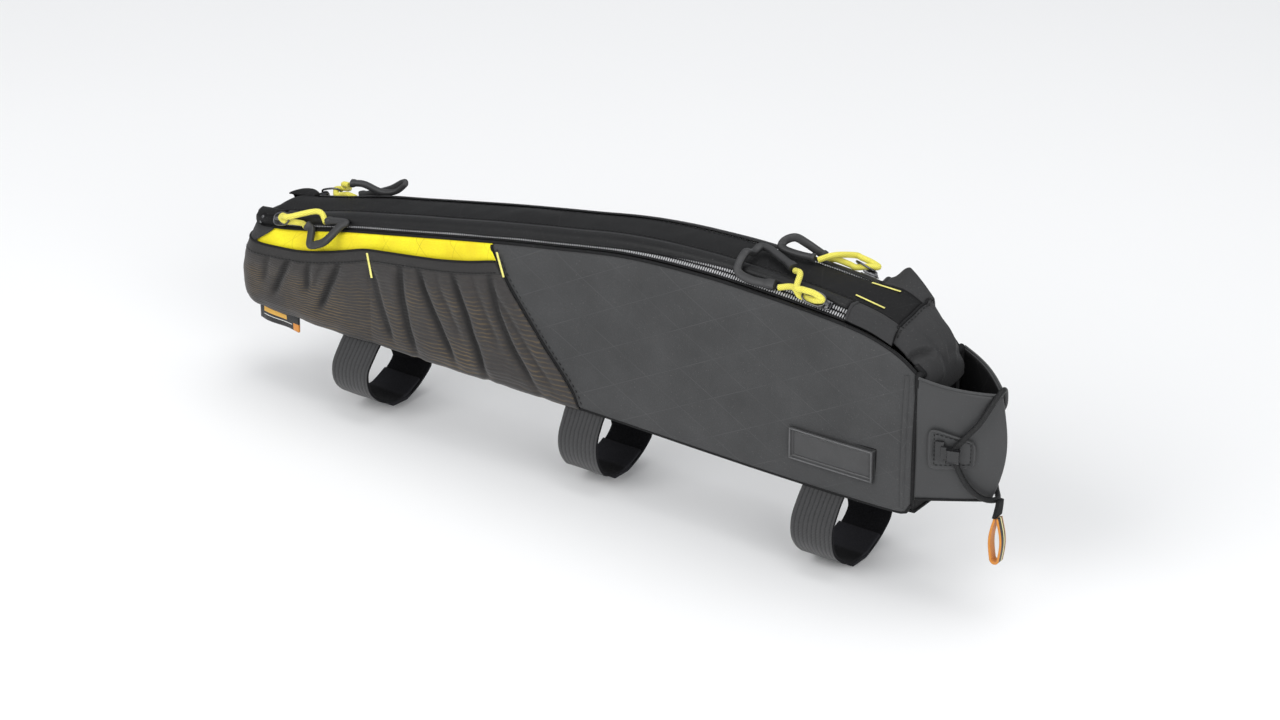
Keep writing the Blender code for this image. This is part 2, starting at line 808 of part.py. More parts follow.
def make_pull(pull):
    side = pull.side
    along = top_along(pull.slider)
    deck = lane_point(side, along, COIL_ACROSS, COIL_HEIGHT + GAP)
    ahead = lane_point(side, along + 0.01, COIL_ACROSS, COIL_HEIGHT + GAP)
    up = (lane_point(side, along, COIL_ACROSS, 10 * MM) - deck).normalized()
    forward = (ahead - deck).normalized()
    across = up.cross(forward)

    def placed(x, y, z):
        return deck + forward * x * pull.heading + across * y + up * z

    shape = bmesh.new()
    bmesh.ops.create_cube(shape, size=1)
    for vert in shape.verts:
        nose = 0.72 if vert.co.x * pull.heading > 0 else 1
        x, y, z = vert.co.x * SLIDER_LENGTH, vert.co.y * SLIDER_WIDTH * nose, (vert.co.z + 0.5) * SLIDER_HEIGHT
        vert.co = deck + forward * x + across * y + up * z
    bmesh.ops.bevel(shape, geom=shape.edges[:], offset=0.7 * MM, segments=1, profile=0.5, affect="EDGES")
    add_object(f"slider_{pull.word}", mesh_from(shape, "slider"), dark_metal())

    ring_lift = SLIDER_HEIGHT + RING_WIRE / 2 + GAP
    half_l, half_w = RING_LENGTH / 2, RING_WIDTH / 2 - RING_WIRE / 2
    ring = []
    for step in range(12):
        turn = 2 * math.pi * step / 12
        x = half_l + half_l * math.copysign(abs(math.cos(turn)) ** 0.8, math.cos(turn)) - 2 * MM
        y = half_w * math.copysign(abs(math.sin(turn)) ** 0.7, math.sin(turn))
        ring.append(placed(x, y, ring_lift + 1.8 * MM * max(x, 0) / RING_LENGTH))
    tube(f"pull_ring_{pull.word}", dark_metal(), ring, RING_WIRE, steps=1, resolution=1, closed=True)

    bar_x = RING_LENGTH - 2 * MM
    bar_z = ring_lift + 1.8 * MM * bar_x / RING_LENGTH
    clear = RING_WIRE / 2 + PULL_CORD / 2 + GAP
    bight = [
        placed(bar_x + 3 * MM, 0.3 * MM, bar_z + clear + 0.6 * MM),
        placed(bar_x - 1 * MM, 0.2 * MM, bar_z + clear + 0.4 * MM),
        placed(bar_x - clear - 1.2 * MM, 0, bar_z),
        placed(bar_x - 1 * MM, -0.2 * MM, bar_z - clear - 0.2 * MM),
        placed(bar_x + 3 * MM, -0.3 * MM, bar_z - clear),
    ]
    cord = over_bag(pull.cord_a, PULL_CORD, pull.slider) + bight + over_bag(pull.cord_b, PULL_CORD, pull.slider)
    tube(f"pull_cord_{pull.word}", yellow_cord(), cord, PULL_CORD, steps=2, resolution=1)
    loop = over_bag(pull.handle, HANDLE_THICKNESS, pull.slider)
    tube(f"pull_handle_{pull.word}", grey_rubber(), loop, HANDLE_THICKNESS, steps=2, resolution=1)


PULLS = (
    Pull(
        "front_right", RIGHT, FRONT_END - 56 * MM, -1,
        ((-24.5, -8.5, 0.3), (-19, -11, 0.6)),
        ((-19, -19, 0.8), (-26.5, -20.5, 0.8)),
        (
            (-25.7, -8.0, 0.5), (-36, -3.6, 0.5), (-45, 0.4, 0.5), (-50.7, -1.5, 0.5), (-54, -9, 0.5),
            (-53.8, -13, 0.6), (-52.6, -17, 0.8), (-47.5, -20.6, 1.1), (-38, -21.6, 1.0), (-28.4, -20.9, 0.8),
        ),
    ),
    Pull(
        "front_left", LEFT, FRONT_END - 54 * MM, -1,
        ((-24.5, 11.5, 0.5), (-19, 13.8, 0.8)),
        ((-19, 18.6, 1.0), (-24.5, 20.8, 1.0)),
        (
            (-26, 11.2, 0.6), (-35, 12.5, 0.8), (-44, 14, 1.4), (-49.4, 16.5, 2.6), (-50.4, 20, 3.6),
            (-47, 22.6, 3.0), (-38, 22.6, 1.6), (-26.4, 21.4, 1.0),
        ),
    ),
    Pull(
        "rear_right", RIGHT, REAR_END + 28 * MM, 1,
        ((28, -12.4, 0.6), (22, -14.0, 0.8)),
        ((20, -18.0, 1.0), (24, -19.8, 1.0)),
        (
            (29.6, -12.1, 0.6), (39, -14.5, 0.6), (46, -17.3, 0.9), (48.5, -21.0, 0.4),
            (46.5, -24.0, -0.6), (41, -24.3, -3.4), (33.5, -24.5, -5.6), (29, -24.0, -2.6),
            (27.4, -21.8, 1.0), (25.6, -20.3, 0.6),
        ),
    ),
    Pull(
        "rear_left", LEFT, REAR_END + 28 * MM, 1,
        ((24.6, 12.2, 0.6), (19, 14.0, 0.9)),
        ((19, 18.2, 1.0), (23.6, 20.2, 0.8)),
        (
            (26.2, 11.9, 0.6), (33, 14.5, 0.9), (42, 18.0, 1.2), (50, 21.0, 2.8), (55.4, 22.6, 5.2),
            (53, 23.7, 5.4), (45, 23.2, 3.0), (34, 22.6, 1.4), (25.2, 20.8, 0.8),
        ),
    ),
)
SHOULDER = 23.9 * MM


def over_bag(points, thickness, start):
    """Places over the bag for a cord: x from the start, y and clearance. Past the shoulder it hangs beside the bag."""
    route = []
    for x, y, clear in points:
        height, steep = deck(start + x * MM, y * MM)
        place = Vector((start + x * MM, y * MM, height + (thickness * 0.55 + (clear + 0.25) * MM) * steep))
        if abs(place.y) > SHOULDER:
            along = top_along(place.x)
            standing = GAP * 3 + POCKET_CLOTH + POCKET_PLEAT + POCKET_MOUTH + thickness / 2
            beside = half_width(along) * TOP_NARROWING + standing + abs(place.y) - SHOULDER
            place = Vector((place.x, math.copysign(beside, y), seam_height(along) + clear * MM))
        route.append(place)
    return route


def clear_scene():
    for old in list(bpy.data.objects):
        bpy.data.objects.remove(old, do_unlink=True)


def main():
    clear_scene()
    make_side_panels()
    make_side_pocket()
    make_base_and_ends()
    make_top()
    make_zip_end_flaps()
    make_hood()
    make_front_pocket()
    make_cord_patches()
    make_bungee()
    make_pull_ribbon()
    make_straps()
    make_badge()
    make_label_tab()
    for pull in PULLS:
        make_pull(pull)


main()
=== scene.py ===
"""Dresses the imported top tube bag: cloth panels, side pocket, zips, hood, front pocket, cords and straps.

+X points to the front of the bicycle, +Z up, and lengths are metres.
"""

import json
import math
from collections import namedtuple

import bmesh
import bpy
from bpy.props import FloatProperty, FloatVectorProperty, PointerProperty
from bpy.types import Operator, Panel, PropertyGroup
from mathutils import Matrix, Vector, noise

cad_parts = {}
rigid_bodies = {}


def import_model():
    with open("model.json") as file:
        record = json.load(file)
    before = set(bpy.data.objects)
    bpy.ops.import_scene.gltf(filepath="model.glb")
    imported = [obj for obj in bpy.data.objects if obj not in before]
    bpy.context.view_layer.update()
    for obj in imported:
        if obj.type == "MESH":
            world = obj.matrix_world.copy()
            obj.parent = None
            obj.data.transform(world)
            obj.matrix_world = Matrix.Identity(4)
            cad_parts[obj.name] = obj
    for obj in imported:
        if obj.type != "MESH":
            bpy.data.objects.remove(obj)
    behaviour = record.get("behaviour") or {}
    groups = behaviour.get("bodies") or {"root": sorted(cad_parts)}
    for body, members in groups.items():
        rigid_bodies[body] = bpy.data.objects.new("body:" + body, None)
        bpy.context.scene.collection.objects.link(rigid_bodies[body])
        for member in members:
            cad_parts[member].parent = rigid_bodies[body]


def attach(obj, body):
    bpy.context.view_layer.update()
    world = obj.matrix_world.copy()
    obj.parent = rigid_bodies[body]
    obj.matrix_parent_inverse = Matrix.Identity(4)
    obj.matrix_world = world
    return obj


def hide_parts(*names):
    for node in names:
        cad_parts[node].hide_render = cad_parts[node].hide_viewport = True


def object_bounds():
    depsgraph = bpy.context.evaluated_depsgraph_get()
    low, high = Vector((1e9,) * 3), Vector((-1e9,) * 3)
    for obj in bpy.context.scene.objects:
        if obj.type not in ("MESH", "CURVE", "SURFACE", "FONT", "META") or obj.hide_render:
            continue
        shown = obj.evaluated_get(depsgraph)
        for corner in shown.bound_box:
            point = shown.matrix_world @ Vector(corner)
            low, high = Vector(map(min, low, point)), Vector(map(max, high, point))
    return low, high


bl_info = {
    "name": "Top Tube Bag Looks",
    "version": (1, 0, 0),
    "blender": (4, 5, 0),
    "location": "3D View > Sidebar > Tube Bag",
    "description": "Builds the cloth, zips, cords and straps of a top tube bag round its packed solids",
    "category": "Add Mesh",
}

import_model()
SOLIDS_BOX = [list(corner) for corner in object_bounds()]

MM = 0.001
RIGHT = -1
LEFT = 1

# The bag's own shape, as its solids have it
BODY_LENGTH = 439 * MM
REAR_TO_ORIGIN = 237 * MM
REAR_END = -REAR_TO_ORIGIN
FRONT_END = BODY_LENGTH - REAR_TO_ORIGIN
BODY_WIDTH = 51 * MM
SEAM_HEIGHT = 98.5 * MM
TOP_RISE = 8 * MM
TOP_CROWN = 1.6 * MM
TOP_PANEL_WIDTH = 23 * MM
SIDE_BULGE = 1.2 * MM
TOP_NARROWING = 0.93
FOOT_ROUNDING = 3 * MM
SHOULDER_ROUNDING = 2.5 * MM
REAR_LEAN = 8 * MM
REAR_BELLY = 16 * MM
REAR_LEAN_REACH = 0.2
REAR_CORNER = 12 * MM
CLOTH = 1.2 * MM
GAP = 0.35 * MM
COIL_HEIGHT = 1.5 * MM
COIL_ACROSS = 0.32
FLAP_HEIGHT = 1.9 * MM
FLAP_REAR = 0.902
LANE_START = 0.03
TOP_START = 0.035
HOOD_SEAM = 0.962
HOOD_REACH = 22.5 * MM
HOOD_FOOT = 64 * MM
FOLD_HEIGHT = 12 * MM
FOLD_PLACE = FRONT_END - 30 * MM
POCKET_DEPTH = 35.5 * MM
POCKET_BULGE = 4 * MM
POCKET_FOOT = 9.5 * MM
POCKET_RIM = 77.5 * MM
POCKET_RIM_DROP = 8 * MM
POCKET_WALL = 1.4 * MM
HEM_WIDTH = 7 * MM
BUNGEE = 3.0 * MM
PATCH_THICKNESS = 1.2 * MM
STRAP_WIDTH = 25 * MM
STRAP_THICKNESS = 1.8 * MM
STRAP_PITCH = 150.5 * MM
PULL_CORD = 3.2 * MM
HANDLE_THICKNESS = 4.8 * MM
SLIDER_HEIGHT = 3 * MM
RING_LENGTH = 12 * MM
RING_WIDTH = 8.5 * MM
RING_WIRE = 1.5 * MM

# Shares of the length, of half the width and of the seam's height
Section = namedtuple("Section", "along half_width seam")
SECTIONS = (
    Section(0.00, 0.83, 0.47),
    Section(0.05, 0.86, 0.50),
    Section(0.18, 0.93, 0.62),
    Section(0.40, 0.92, 0.817),
    Section(0.50, 0.92, 0.897),
    Section(0.60, 0.94, 0.970),
    Section(0.71, 0.98, 1.000),
    Section(0.80, 1.00, 0.994),
    Section(0.88, 0.99, 0.973),
    Section(0.93, 0.97, 0.945),
    Section(0.96, 0.95, 0.905),
    Section(0.98, 0.92, 0.860),
    Section(1.00, 0.86, 0.785),
)

# The slanted seam where the side pocket ends
SeamRow = namedtuple("SeamRow", "up along")
POCKET_SEAM = (
    SeamRow(0.00, 0.534),
    SeamRow(0.12, 0.523),
    SeamRow(0.40, 0.478),
    SeamRow(0.75, 0.4275),
    SeamRow(0.95, 0.405),
    SeamRow(1.00, 0.403),
)

# The side pocket's mouth, as a share of the side's height
MouthRow = namedtuple("MouthRow", "along mouth")
POCKET_MOUTH_LINE = (
    MouthRow(0.000, 0.820),
    MouthRow(0.049, 0.800),
    MouthRow(0.095, 0.785),
    MouthRow(0.144, 0.808),
    MouthRow(0.184, 0.842),
    MouthRow(0.216, 0.870),
    MouthRow(0.248, 0.866),
    MouthRow(0.287, 0.857),
    MouthRow(0.333, 0.851),
    MouthRow(0.379, 0.862),
    MouthRow(0.413, 0.881),
    MouthRow(0.440, 0.890),
)

# The side pocket's two bar tacks, by the places of their upper and lower ends
BarTack = namedtuple("BarTack", "top_x top_z foot_x foot_z")
POCKET_TACKS = (
    BarTack(-142 * MM, 54.4 * MM, -139.2 * MM, 40.3 * MM),
    BarTack(-54.5 * MM, 78 * MM, -49.5 * MM, 65 * MM),
)
TOP_TACK_ENDS = (157 * MM, 174 * MM)
TOP_TACK_OFFSET = 7.5 * MM

# The two rivets on each zip's tail, as shares along and across it
RIVETS = ((0.46, 0.40), (0.30, 0.14))

# The cord's hook: its place round the front pocket, and in mm its foot plate, neck, upright and nose
HOOK_TURN = 0.70
HOOK_AHEAD = 0.65
HOOK_UP = 0.47
HookBlock = namedtuple("HookBlock", "back length width rise height")
HOOK_BLOCKS = (
    HookBlock(7.2, 4.6, 11.0, 0.6, 1.3),
    HookBlock(3.6, 6.0, 6.6, 1.3, 1.7),
    HookBlock(-1.9, 2.0, 7.4, 2.6, 4.2),
    HookBlock(0.2, 6.2, 7.2, 4.5, 1.4),
)

# Each pleat of the side pocket: the line down it, as shares of the bag's length and of the side's height,
# how far that line bows to the front, and its depth in mm
Pleat = namedtuple("Pleat", "top top_up foot foot_up bow depth")
PLEATS = (
    Pleat(0.052, 0.74, 0.044, 0.35, 0.000, 1.6),
    Pleat(0.091, 0.77, 0.060, 0.22, 0.000, 2.8),
    Pleat(0.119, 0.77, 0.116, 0.36, 0.001, 2.2),
    Pleat(0.144, 0.72, 0.130, 0.42, 0.000, 1.2),
    Pleat(0.174, 0.81, 0.137, 0.20, 0.001, 3.0),
    Pleat(0.221, 0.66, 0.252, 0.10, -0.002, 2.8),
    Pleat(0.266, 0.83, 0.288, 0.04, -0.006, 3.4),
    Pleat(0.290, 0.83, 0.350, 0.08, -0.004, 3.2),
    Pleat(0.319, 0.78, 0.362, 0.30, -0.003, 1.4),
    Pleat(0.343, 0.80, 0.397, 0.03, 0.002, 3.4),
    Pleat(0.374, 0.80, 0.420, 0.28, -0.002, 1.3),
    Pleat(0.402, 0.83, 0.472, 0.06, -0.014, 3.2),
    Pleat(0.420, 0.62, 0.498, 0.10, -0.004, 1.4),
)
POCKET_DIVIDER = 0.219

# The hood's middle line and edges: shares of its reach forward and of its drop
HoodRow = namedtuple("HoodRow", "down middle_out middle_drop edge_out edge_drop")
HOOD = (
    HoodRow(0.00, 0.00, 0.00, 0.00, 0.00),
    HoodRow(0.20, 0.42, 0.09, 0.30, 0.13),
    HoodRow(0.40, 0.75, 0.24, 0.53, 0.28),
    HoodRow(0.60, 0.96, 0.46, 0.73, 0.46),
    HoodRow(0.80, 1.00, 0.74, 0.83, 0.72),
    HoodRow(1.00, 0.92, 1.00, 0.83, 1.00),
)

# Each strap: its place along the bag, how deep its loop hangs and how far it reaches on each side
Strap = namedtuple("Strap", "word place drop right_reach left_reach")
STRAPS = (
    Strap("rear", -1, 41 * MM, 35 * MM, 27 * MM),
    Strap("middle", 0, 40 * MM, 30 * MM, 29 * MM),
    Strap("front", 1, 44 * MM, 35 * MM, 32 * MM),
)
LoopRow = namedtuple("LoopRow", "walk out down")
LOOP_LINE = (
    LoopRow(0.00, 0.66, 0.00),
    LoopRow(0.14, 0.80, 0.13),
    LoopRow(0.32, 0.97, 0.36),
    LoopRow(0.48, 0.93, 0.64),
    LoopRow(0.62, 0.68, 0.87),
    LoopRow(0.74, 0.36, 0.985),
    LoopRow(0.87, 0.00, 1.00),
    LoopRow(1.00, -0.36, 0.985),
)

# Each pull: its slider, then points of its cord and handle as x, y and clearance over the bag, in mm
Pull = namedtuple("Pull", "word side slider heading cord_a cord_b handle")
PULLS = (
    Pull(
        "front_right", RIGHT, FRONT_END - 56 * MM, -1,
        ((-24.5, -8.5, 0.3), (-17.8, -14.4, 0.9)),
        ((-19, -19, 0.8), (-26.5, -20.5, 0.8)),
        (
            (-25.7, -8.0, 0.5), (-36, -3.6, 0.4), (-45, 0.4, 0.4), (-49.4, 1.4, 0.4), (-51, -0.8, 0.8),
            (-51.2, -6.5, 0.3), (-51.4, -13, 0.3), (-52.0, -18.4, 0.7), (-49.8, -21.0, 1.0),
            (-41, -22.0, 1.0), (-28.4, -20.9, 0.8),
        ),
    ),
    Pull(
        "front_left", LEFT, FRONT_END - 54 * MM, -1,
        ((-24.3, 8.8, 0.3), (-17.8, 14.4, 0.9)),
        ((-19, 18.0, 1.0), (-24.5, 19.6, 0.9)),
        (
            (-25.8, 8.2, 0.3), (-31, 6.6, 0.2), (-38, 5.8, 0.2), (-43.6, 6.4, 0.5), (-46.0, 8.6, 1.6),
            (-44.6, 11.0, 2.6), (-40.0, 12.6, 2.2), (-35, 14.6, 1.0), (-30.6, 17.0, 0.6), (-26.4, 19.2, 0.7),
        ),
    ),
    Pull(
        "rear_right", RIGHT, REAR_END + 28 * MM, 1,
        ((33.6, -19.4, 0.6), (26, -16.8, 1.3)),
        ((17, -19.2, 0.2), (21.0, -21.8, -0.3)),
        (
            (35.0, -19.6, 0.6), (41, -19.8, 0.6), (46.8, -20.2, 0.6), (48.8, -21.2, 0.3), (47, -23.0, -0.2),
            (41.5, -24.2, -2.4), (35, -24.5, -4.6), (32.2, -24.5, -5.0), (30.0, -24.2, -4.2),
            (26.2, -23.2, -1.8), (22.4, -22.2, -0.5),
        ),
    ),
    Pull(
        "rear_left", LEFT, REAR_END + 28 * MM, 1,
        ((24.6, 12.2, 0.6), (19, 14.0, 0.9)),
        ((19, 17.4, 1.0), (23.6, 18.8, 0.8)),
        (
            (26.2, 11.9, 0.6), (33, 14.5, 0.9), (42, 18.0, 1.2), (50, 21.0, 2.8), (55.4, 22.6, 5.2),
            (53, 23.7, 5.4), (45, 23.2, 3.0), (34, 22.6, 1.4), (25.2, 20.8, 0.8),
        ),
    ),
)
SHOULDER = 23.9 * MM


# Shape of the bag

def follow(rows, at, column):
    """The column's value at a place in the first column, on a smooth curve through the rows."""
    keys = [row[0] for row in rows]
    values = [getattr(row, column) for row in rows]
    if at <= keys[0]:
        return values[0]
    if at >= keys[-1]:
        return values[-1]
    index = max(i for i, key in enumerate(keys) if key <= at)
    slopes = []
    for i in (index, index + 1):
        low, high = max(i - 1, 0), min(i + 1, len(keys) - 1)
        slopes.append((values[high] - values[low]) / (keys[high] - keys[low]))
    span = keys[index + 1] - keys[index]
    t = (at - keys[index]) / span
    hold = 2 * t**3 - 3 * t**2 + 1
    return (
        values[index] * hold
        + values[index + 1] * (1 - hold)
        + slopes[0] * span * (t**3 - 2 * t**2 + t)
        + slopes[1] * span * (t**3 - t**2)
    )


def mix(low, high, t):
    return low + (high - low) * t


def clamp(t):
    return min(max(t, 0.0), 1.0)


def ease(t):
    t = clamp(t)
    return t * t * (3 - 2 * t)


def bump_at(t, middle, width):
    """A soft hump of height 1 about a place."""
    return math.exp(-(((t - middle) / width) ** 2))


def rumple(point, pitch, seed=0.0):
    """Smooth noise from -1 to 1 with waves about a pitch long."""
    return noise.noise(Vector((point.x / pitch + seed, point.y / pitch - seed, point.z / pitch + 2 * seed)))


def x_at(along):
    return along * BODY_LENGTH - REAR_TO_ORIGIN


def along_at(x):
    return (x + REAR_TO_ORIGIN) / BODY_LENGTH


def half_width(along):
    return follow(SECTIONS, along, "half_width") * BODY_WIDTH / 2


def seam_height(along):
    return follow(SECTIONS, along, "seam") * SEAM_HEIGHT


def lean(along, z):
    """How far the rear end leans forward above and below its belly."""
    fade = 1 - ease(along / REAR_LEAN_REACH)
    away = (min(z, seam_height(along)) - REAR_BELLY) / (seam_height(0) - REAR_BELLY)
    return REAR_LEAN * fade * away * away


def side_turn(along, up):
    """How far the side has turned in at its foot (below 0) or its shoulder (above 0), as a sine."""
    foot = clamp(1 - up * seam_height(along) / FOOT_ROUNDING)
    shoulder = clamp(1 - (1 - up) * seam_height(along) / SHOULDER_ROUNDING)
    return shoulder - foot


def side_offset(along, up):
    turned = side_turn(along, up)
    radius = SHOULDER_ROUNDING if turned > 0 else FOOT_ROUNDING
    return (
        half_width(along) * mix(1, TOP_NARROWING, up)
        + SIDE_BULGE * math.sin(math.pi * clamp(up))
        - radius * (1 - math.sqrt(1 - turned * turned))
    )


def lane_foot(along):
    """Half the width at the zip's outer edge."""
    return half_width(along) * TOP_NARROWING - SHOULDER_ROUNDING - 3 * GAP


CORNER_SHARE = REAR_CORNER / BODY_LENGTH
CORNER_TURN = math.radians(80)


def side_point(side, walk, up, out=0.0):
    """A point of a side's outer face. walk goes from the rear seam (0) to the front (1)."""
    turn = CORNER_TURN * max(0.0, 1 - walk / CORNER_SHARE)
    along = CORNER_SHARE * (1 - math.sin(turn)) if turn else walk
    z = up * seam_height(along)
    reach = side_offset(max(along, CORNER_SHARE), up) - REAR_CORNER * (1 - math.cos(turn))
    turned = side_turn(along, up)
    level = math.sqrt(1 - turned * turned)
    normal = Vector((-math.sin(turn) * level, side * math.cos(turn) * level, turned))
    return Vector((x_at(along) + lean(along, z), side * reach, z)) + normal * out


def lane_point(side, along, across, out=0.0):
    """A point between a side's top seam (across 0) and the top panel's edge (across 1)."""
    low = Vector((side * lane_foot(along), seam_height(along)))
    high = Vector((side * TOP_PANEL_WIDTH / 2, seam_height(along) + TOP_RISE))
    run = high - low
    normal = Vector((side * run.y, abs(run.x))).normalized()
    at = low + run * across + normal * (out + TOP_CROWN * math.sin(math.pi * across))
    return Vector((x_at(along) + lean(along, low.y), at.x, at.y))


def top_point(along, across, out=0.0):
    """A point of the top panel, from its right edge (-1) to its left edge (1)."""
    z = seam_height(along) + TOP_RISE + TOP_CROWN * (1 - across * across) + out
    return Vector((x_at(along) + lean(along, z), across * TOP_PANEL_WIDTH / 2, z))


def top_along(x):
    along = along_at(x)
    for _ in range(6):
        along = along_at(x - lean(along, seam_height(along) + TOP_RISE))
    return along


def deck(x, y):
    """Height and steepness of the bag's top at a place, with the zip on it."""
    along = top_along(x)
    edge = TOP_PANEL_WIDTH / 2
    run = lane_foot(along) - edge
    across = (lane_foot(along) - abs(y)) / run
    steep = math.hypot(run, TOP_RISE) / run
    if across >= 1:
        height = seam_height(along) + TOP_RISE + TOP_CROWN * (1 - (y / edge) ** 2)
        return height, mix(steep, 1, ease((across - 1) / 0.4))
    bump = FLAP_HEIGHT if across > 0.55 else COIL_HEIGHT
    crown = TOP_CROWN * math.sin(math.pi * max(across, 0)) + bump * ease((across + 0.3) / 0.3)
    return seam_height(along) + TOP_RISE * max(across, 0) + crown * steep, steep


def fold(side, x, across):
    """How far the cloth stands up in a fold along the left zip's front end."""
    if side == RIGHT or not 0 < across < 1:
        return 0.0
    rise = ease((x - FOLD_PLACE) / (14 * MM) + 1)
    fall = clamp(1 - (x - FOLD_PLACE) / (24 * MM))
    return FOLD_HEIGHT * min(rise, fall) * min(across / 0.42, (1 - across) / 0.58)


def top_lift(x, across):
    """How far the top panel is drawn up towards the fold at its left edge."""
    return 4.0 * MM * bump_at(x, FOLD_PLACE + 4 * MM, 17 * MM) * ease((across + 0.3) / 1.3)


def garage_lift(across):
    """How far the flap over a zip's front end stands off the zip, down to the top panel's edge."""
    return mix(2.9 * MM, 0.5 * MM, ease((across - 0.72) / 0.3))


def seam_profile(y):
    """Height of the seam between the top and the hood."""
    edge = TOP_PANEL_WIDTH / 2
    if abs(y) <= edge:
        return top_point(HOOD_SEAM, y / edge, 0.5 * MM).z + top_lift(x_at(HOOD_SEAM), y / edge)
    across = (lane_foot(HOOD_SEAM) - abs(y)) / (lane_foot(HOOD_SEAM) - edge)
    lifted = top_lift(x_at(HOOD_SEAM), 1) * across if y > 0 else 0
    return lane_point(RIGHT, HOOD_SEAM, across, garage_lift(across)).z + lifted


def toe(x):
    """How far a side's foot rises in the rounded corner at its front end."""
    t = clamp(1 - (x_at(1) - x) / (7 * MM))
    return 7 * MM * (1 - math.sqrt(1 - 0.98 * t * t))


def pocket_seam(up):
    return follow(POCKET_SEAM, up, "along")


def walked(u, corner):
    """The walk along a side, with this share of its columns in the rear corner."""
    if u < corner:
        return CORNER_SHARE * u / corner
    return mix(CORNER_SHARE, 1, (u - corner) / (1 - corner))


def gathered(v):
    """Rows closer together near a side's foot and shoulder."""
    return 0.5 - 0.5 * math.cos(math.pi * v)


def band_point(turn, up, out=0.0):
    """A point of the front pocket's wall, from its right end (-1) round the nose to its left end (1)."""
    if out:
        along = band_point(min(turn + 0.01, 1), up) - band_point(max(turn - 0.01, -1), up)
        rise = band_point(turn, min(up + 0.01, 1)) - band_point(turn, max(up - 0.01, 0))
        return band_point(turn, up) + along.cross(rise).normalized() * out
    depth = POCKET_DEPTH + POCKET_BULGE * (math.sin(math.pi * up) - (1 - up) ** 4)
    forward = 1 - abs(turn) ** 1.7
    nose = mix(0.05, 0.12, up)
    wedge = math.sqrt((1 - forward) ** 2 + 2 * nose * (1 - forward)) / math.sqrt(1 + 2 * nose)
    reach = half_width(1) * (wedge + 0.16 * up * math.sin(math.pi * forward))
    z = mix(POCKET_FOOT, POCKET_RIM - POCKET_RIM_DROP * forward, up)
    return Vector((x_at(1) + 3 * GAP + depth * forward, math.copysign(reach, turn), z))


def hood_point(u, v):
    """A point of the hood: u down from the seam behind it, v from its right edge to its left."""
    across = 2 * v - 1
    middle = 1 - abs(across) ** 2.8
    seam_x = x_at(HOOD_SEAM)
    out = mix(follow(HOOD, u, "edge_out"), follow(HOOD, u, "middle_out"), middle) * HOOD_REACH
    edge_top = seam_height(HOOD_SEAM)
    middle_top = edge_top + TOP_RISE + TOP_CROWN + 1.5 * MM
    low = edge_top - (edge_top - HOOD_FOOT) * follow(HOOD, u, "edge_drop")
    high = middle_top - (middle_top - HOOD_FOOT) * follow(HOOD, u, "middle_drop")
    shoulder = lane_foot(min(along_at(seam_x + out), 1))
    inside_pocket = half_width(1) - POCKET_WALL - 3 * GAP
    reach = mix(shoulder, inside_pocket, ease((u - 0.6) / 0.3)) * across
    x = seam_x + 3 * GAP + out
    side_share = (shoulder - reach) / (shoulder - TOP_PANEL_WIDTH / 2)
    behind = seam_profile(lane_foot(HOOD_SEAM) * across) - mix(edge_top, middle_top, middle)
    z = mix(low, high, middle) + behind * (1 - ease(u / 0.3)) + fold(LEFT, x, side_share)
    return Vector((x, reach, z))


# Modelling

def add_piece(name, shape, finish, nodes=(), wall=0.0, lining=None, lined_rim=False, sharp=38):
    """Turns a bmesh into a piece that rides on the bag and stands for its solids."""
    mesh = bpy.data.meshes.new(name)
    shape.to_mesh(mesh)
    shape.free()
    mesh.materials.append(finish)
    if lining:
        mesh.materials.append(lining)
    mesh.shade_smooth()
    mesh.set_sharp_from_angle(angle=math.radians(sharp))
    made = bpy.data.objects.new(name, mesh)
    bpy.context.scene.collection.objects.link(made)
    if wall:
        solid = made.modifiers.new("wall", "SOLIDIFY")
        solid.thickness = wall
        solid.offset = -1
        solid.use_even_offset = False
        if lining:
            solid.material_offset = 1
            solid.material_offset_rim = int(lined_rim)
    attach(made, "root")
    if nodes:
        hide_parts(*nodes)
    return made


def grid(columns, rows, place, size, flip=False, relief=None, upright=False):
    """A sheet whose outer face is place(u, v), with a UV map in metres.

    relief(point, u, v) moves it along its normals. An upright sheet's map is its own length and height.
    """
    shape = bmesh.new()
    bmesh.ops.create_grid(shape, x_segments=columns, y_segments=rows, size=0.5)
    uv = shape.loops.layers.uv.new("cloth")
    shares = {}
    for vert in shape.verts:
        shares[vert] = (vert.co.x + 0.5, vert.co.y + 0.5)
    for face in shape.faces:
        for loop in face.loops:
            u, v = shares[loop.vert]
            loop[uv].uv = (u * size[0], v * size[1])
    for vert in shape.verts:
        vert.co = place(*shares[vert])
    if upright:
        for face in shape.faces:
            for loop in face.loops:
                loop[uv].uv = (loop.vert.co.x, loop.vert.co.z)
    if flip:
        bmesh.ops.reverse_faces(shape, faces=shape.faces[:])
    shape.normal_update()
    if relief:
        moves = {vert: vert.normal * relief(vert.co, *shares[vert]) for vert in shape.verts}
        for vert, move in moves.items():
            vert.co += move
    return shape


def smooth_route(points, steps, closed=False):
    """Points on a smooth curve through the chosen ones."""
    if closed:
        ends = points[-1:] + points + points[:2]
    else:
        ends = [2 * points[0] - points[1]] + points + [2 * points[-1] - points[-2]]
    route = []
    for i in range(1, len(ends) - 2):
        a, b, c, d = ends[i - 1 : i + 3]
        for step in range(steps):
            t = step / steps
            square = (2 * a - 5 * b + 4 * c - d) * t**2
            cube = (3 * b - a - 3 * c + d) * t**3
            route.append(0.5 * (2 * b + (c - a) * t + square + cube))
    return route + [route[0] if closed else points[-1]]


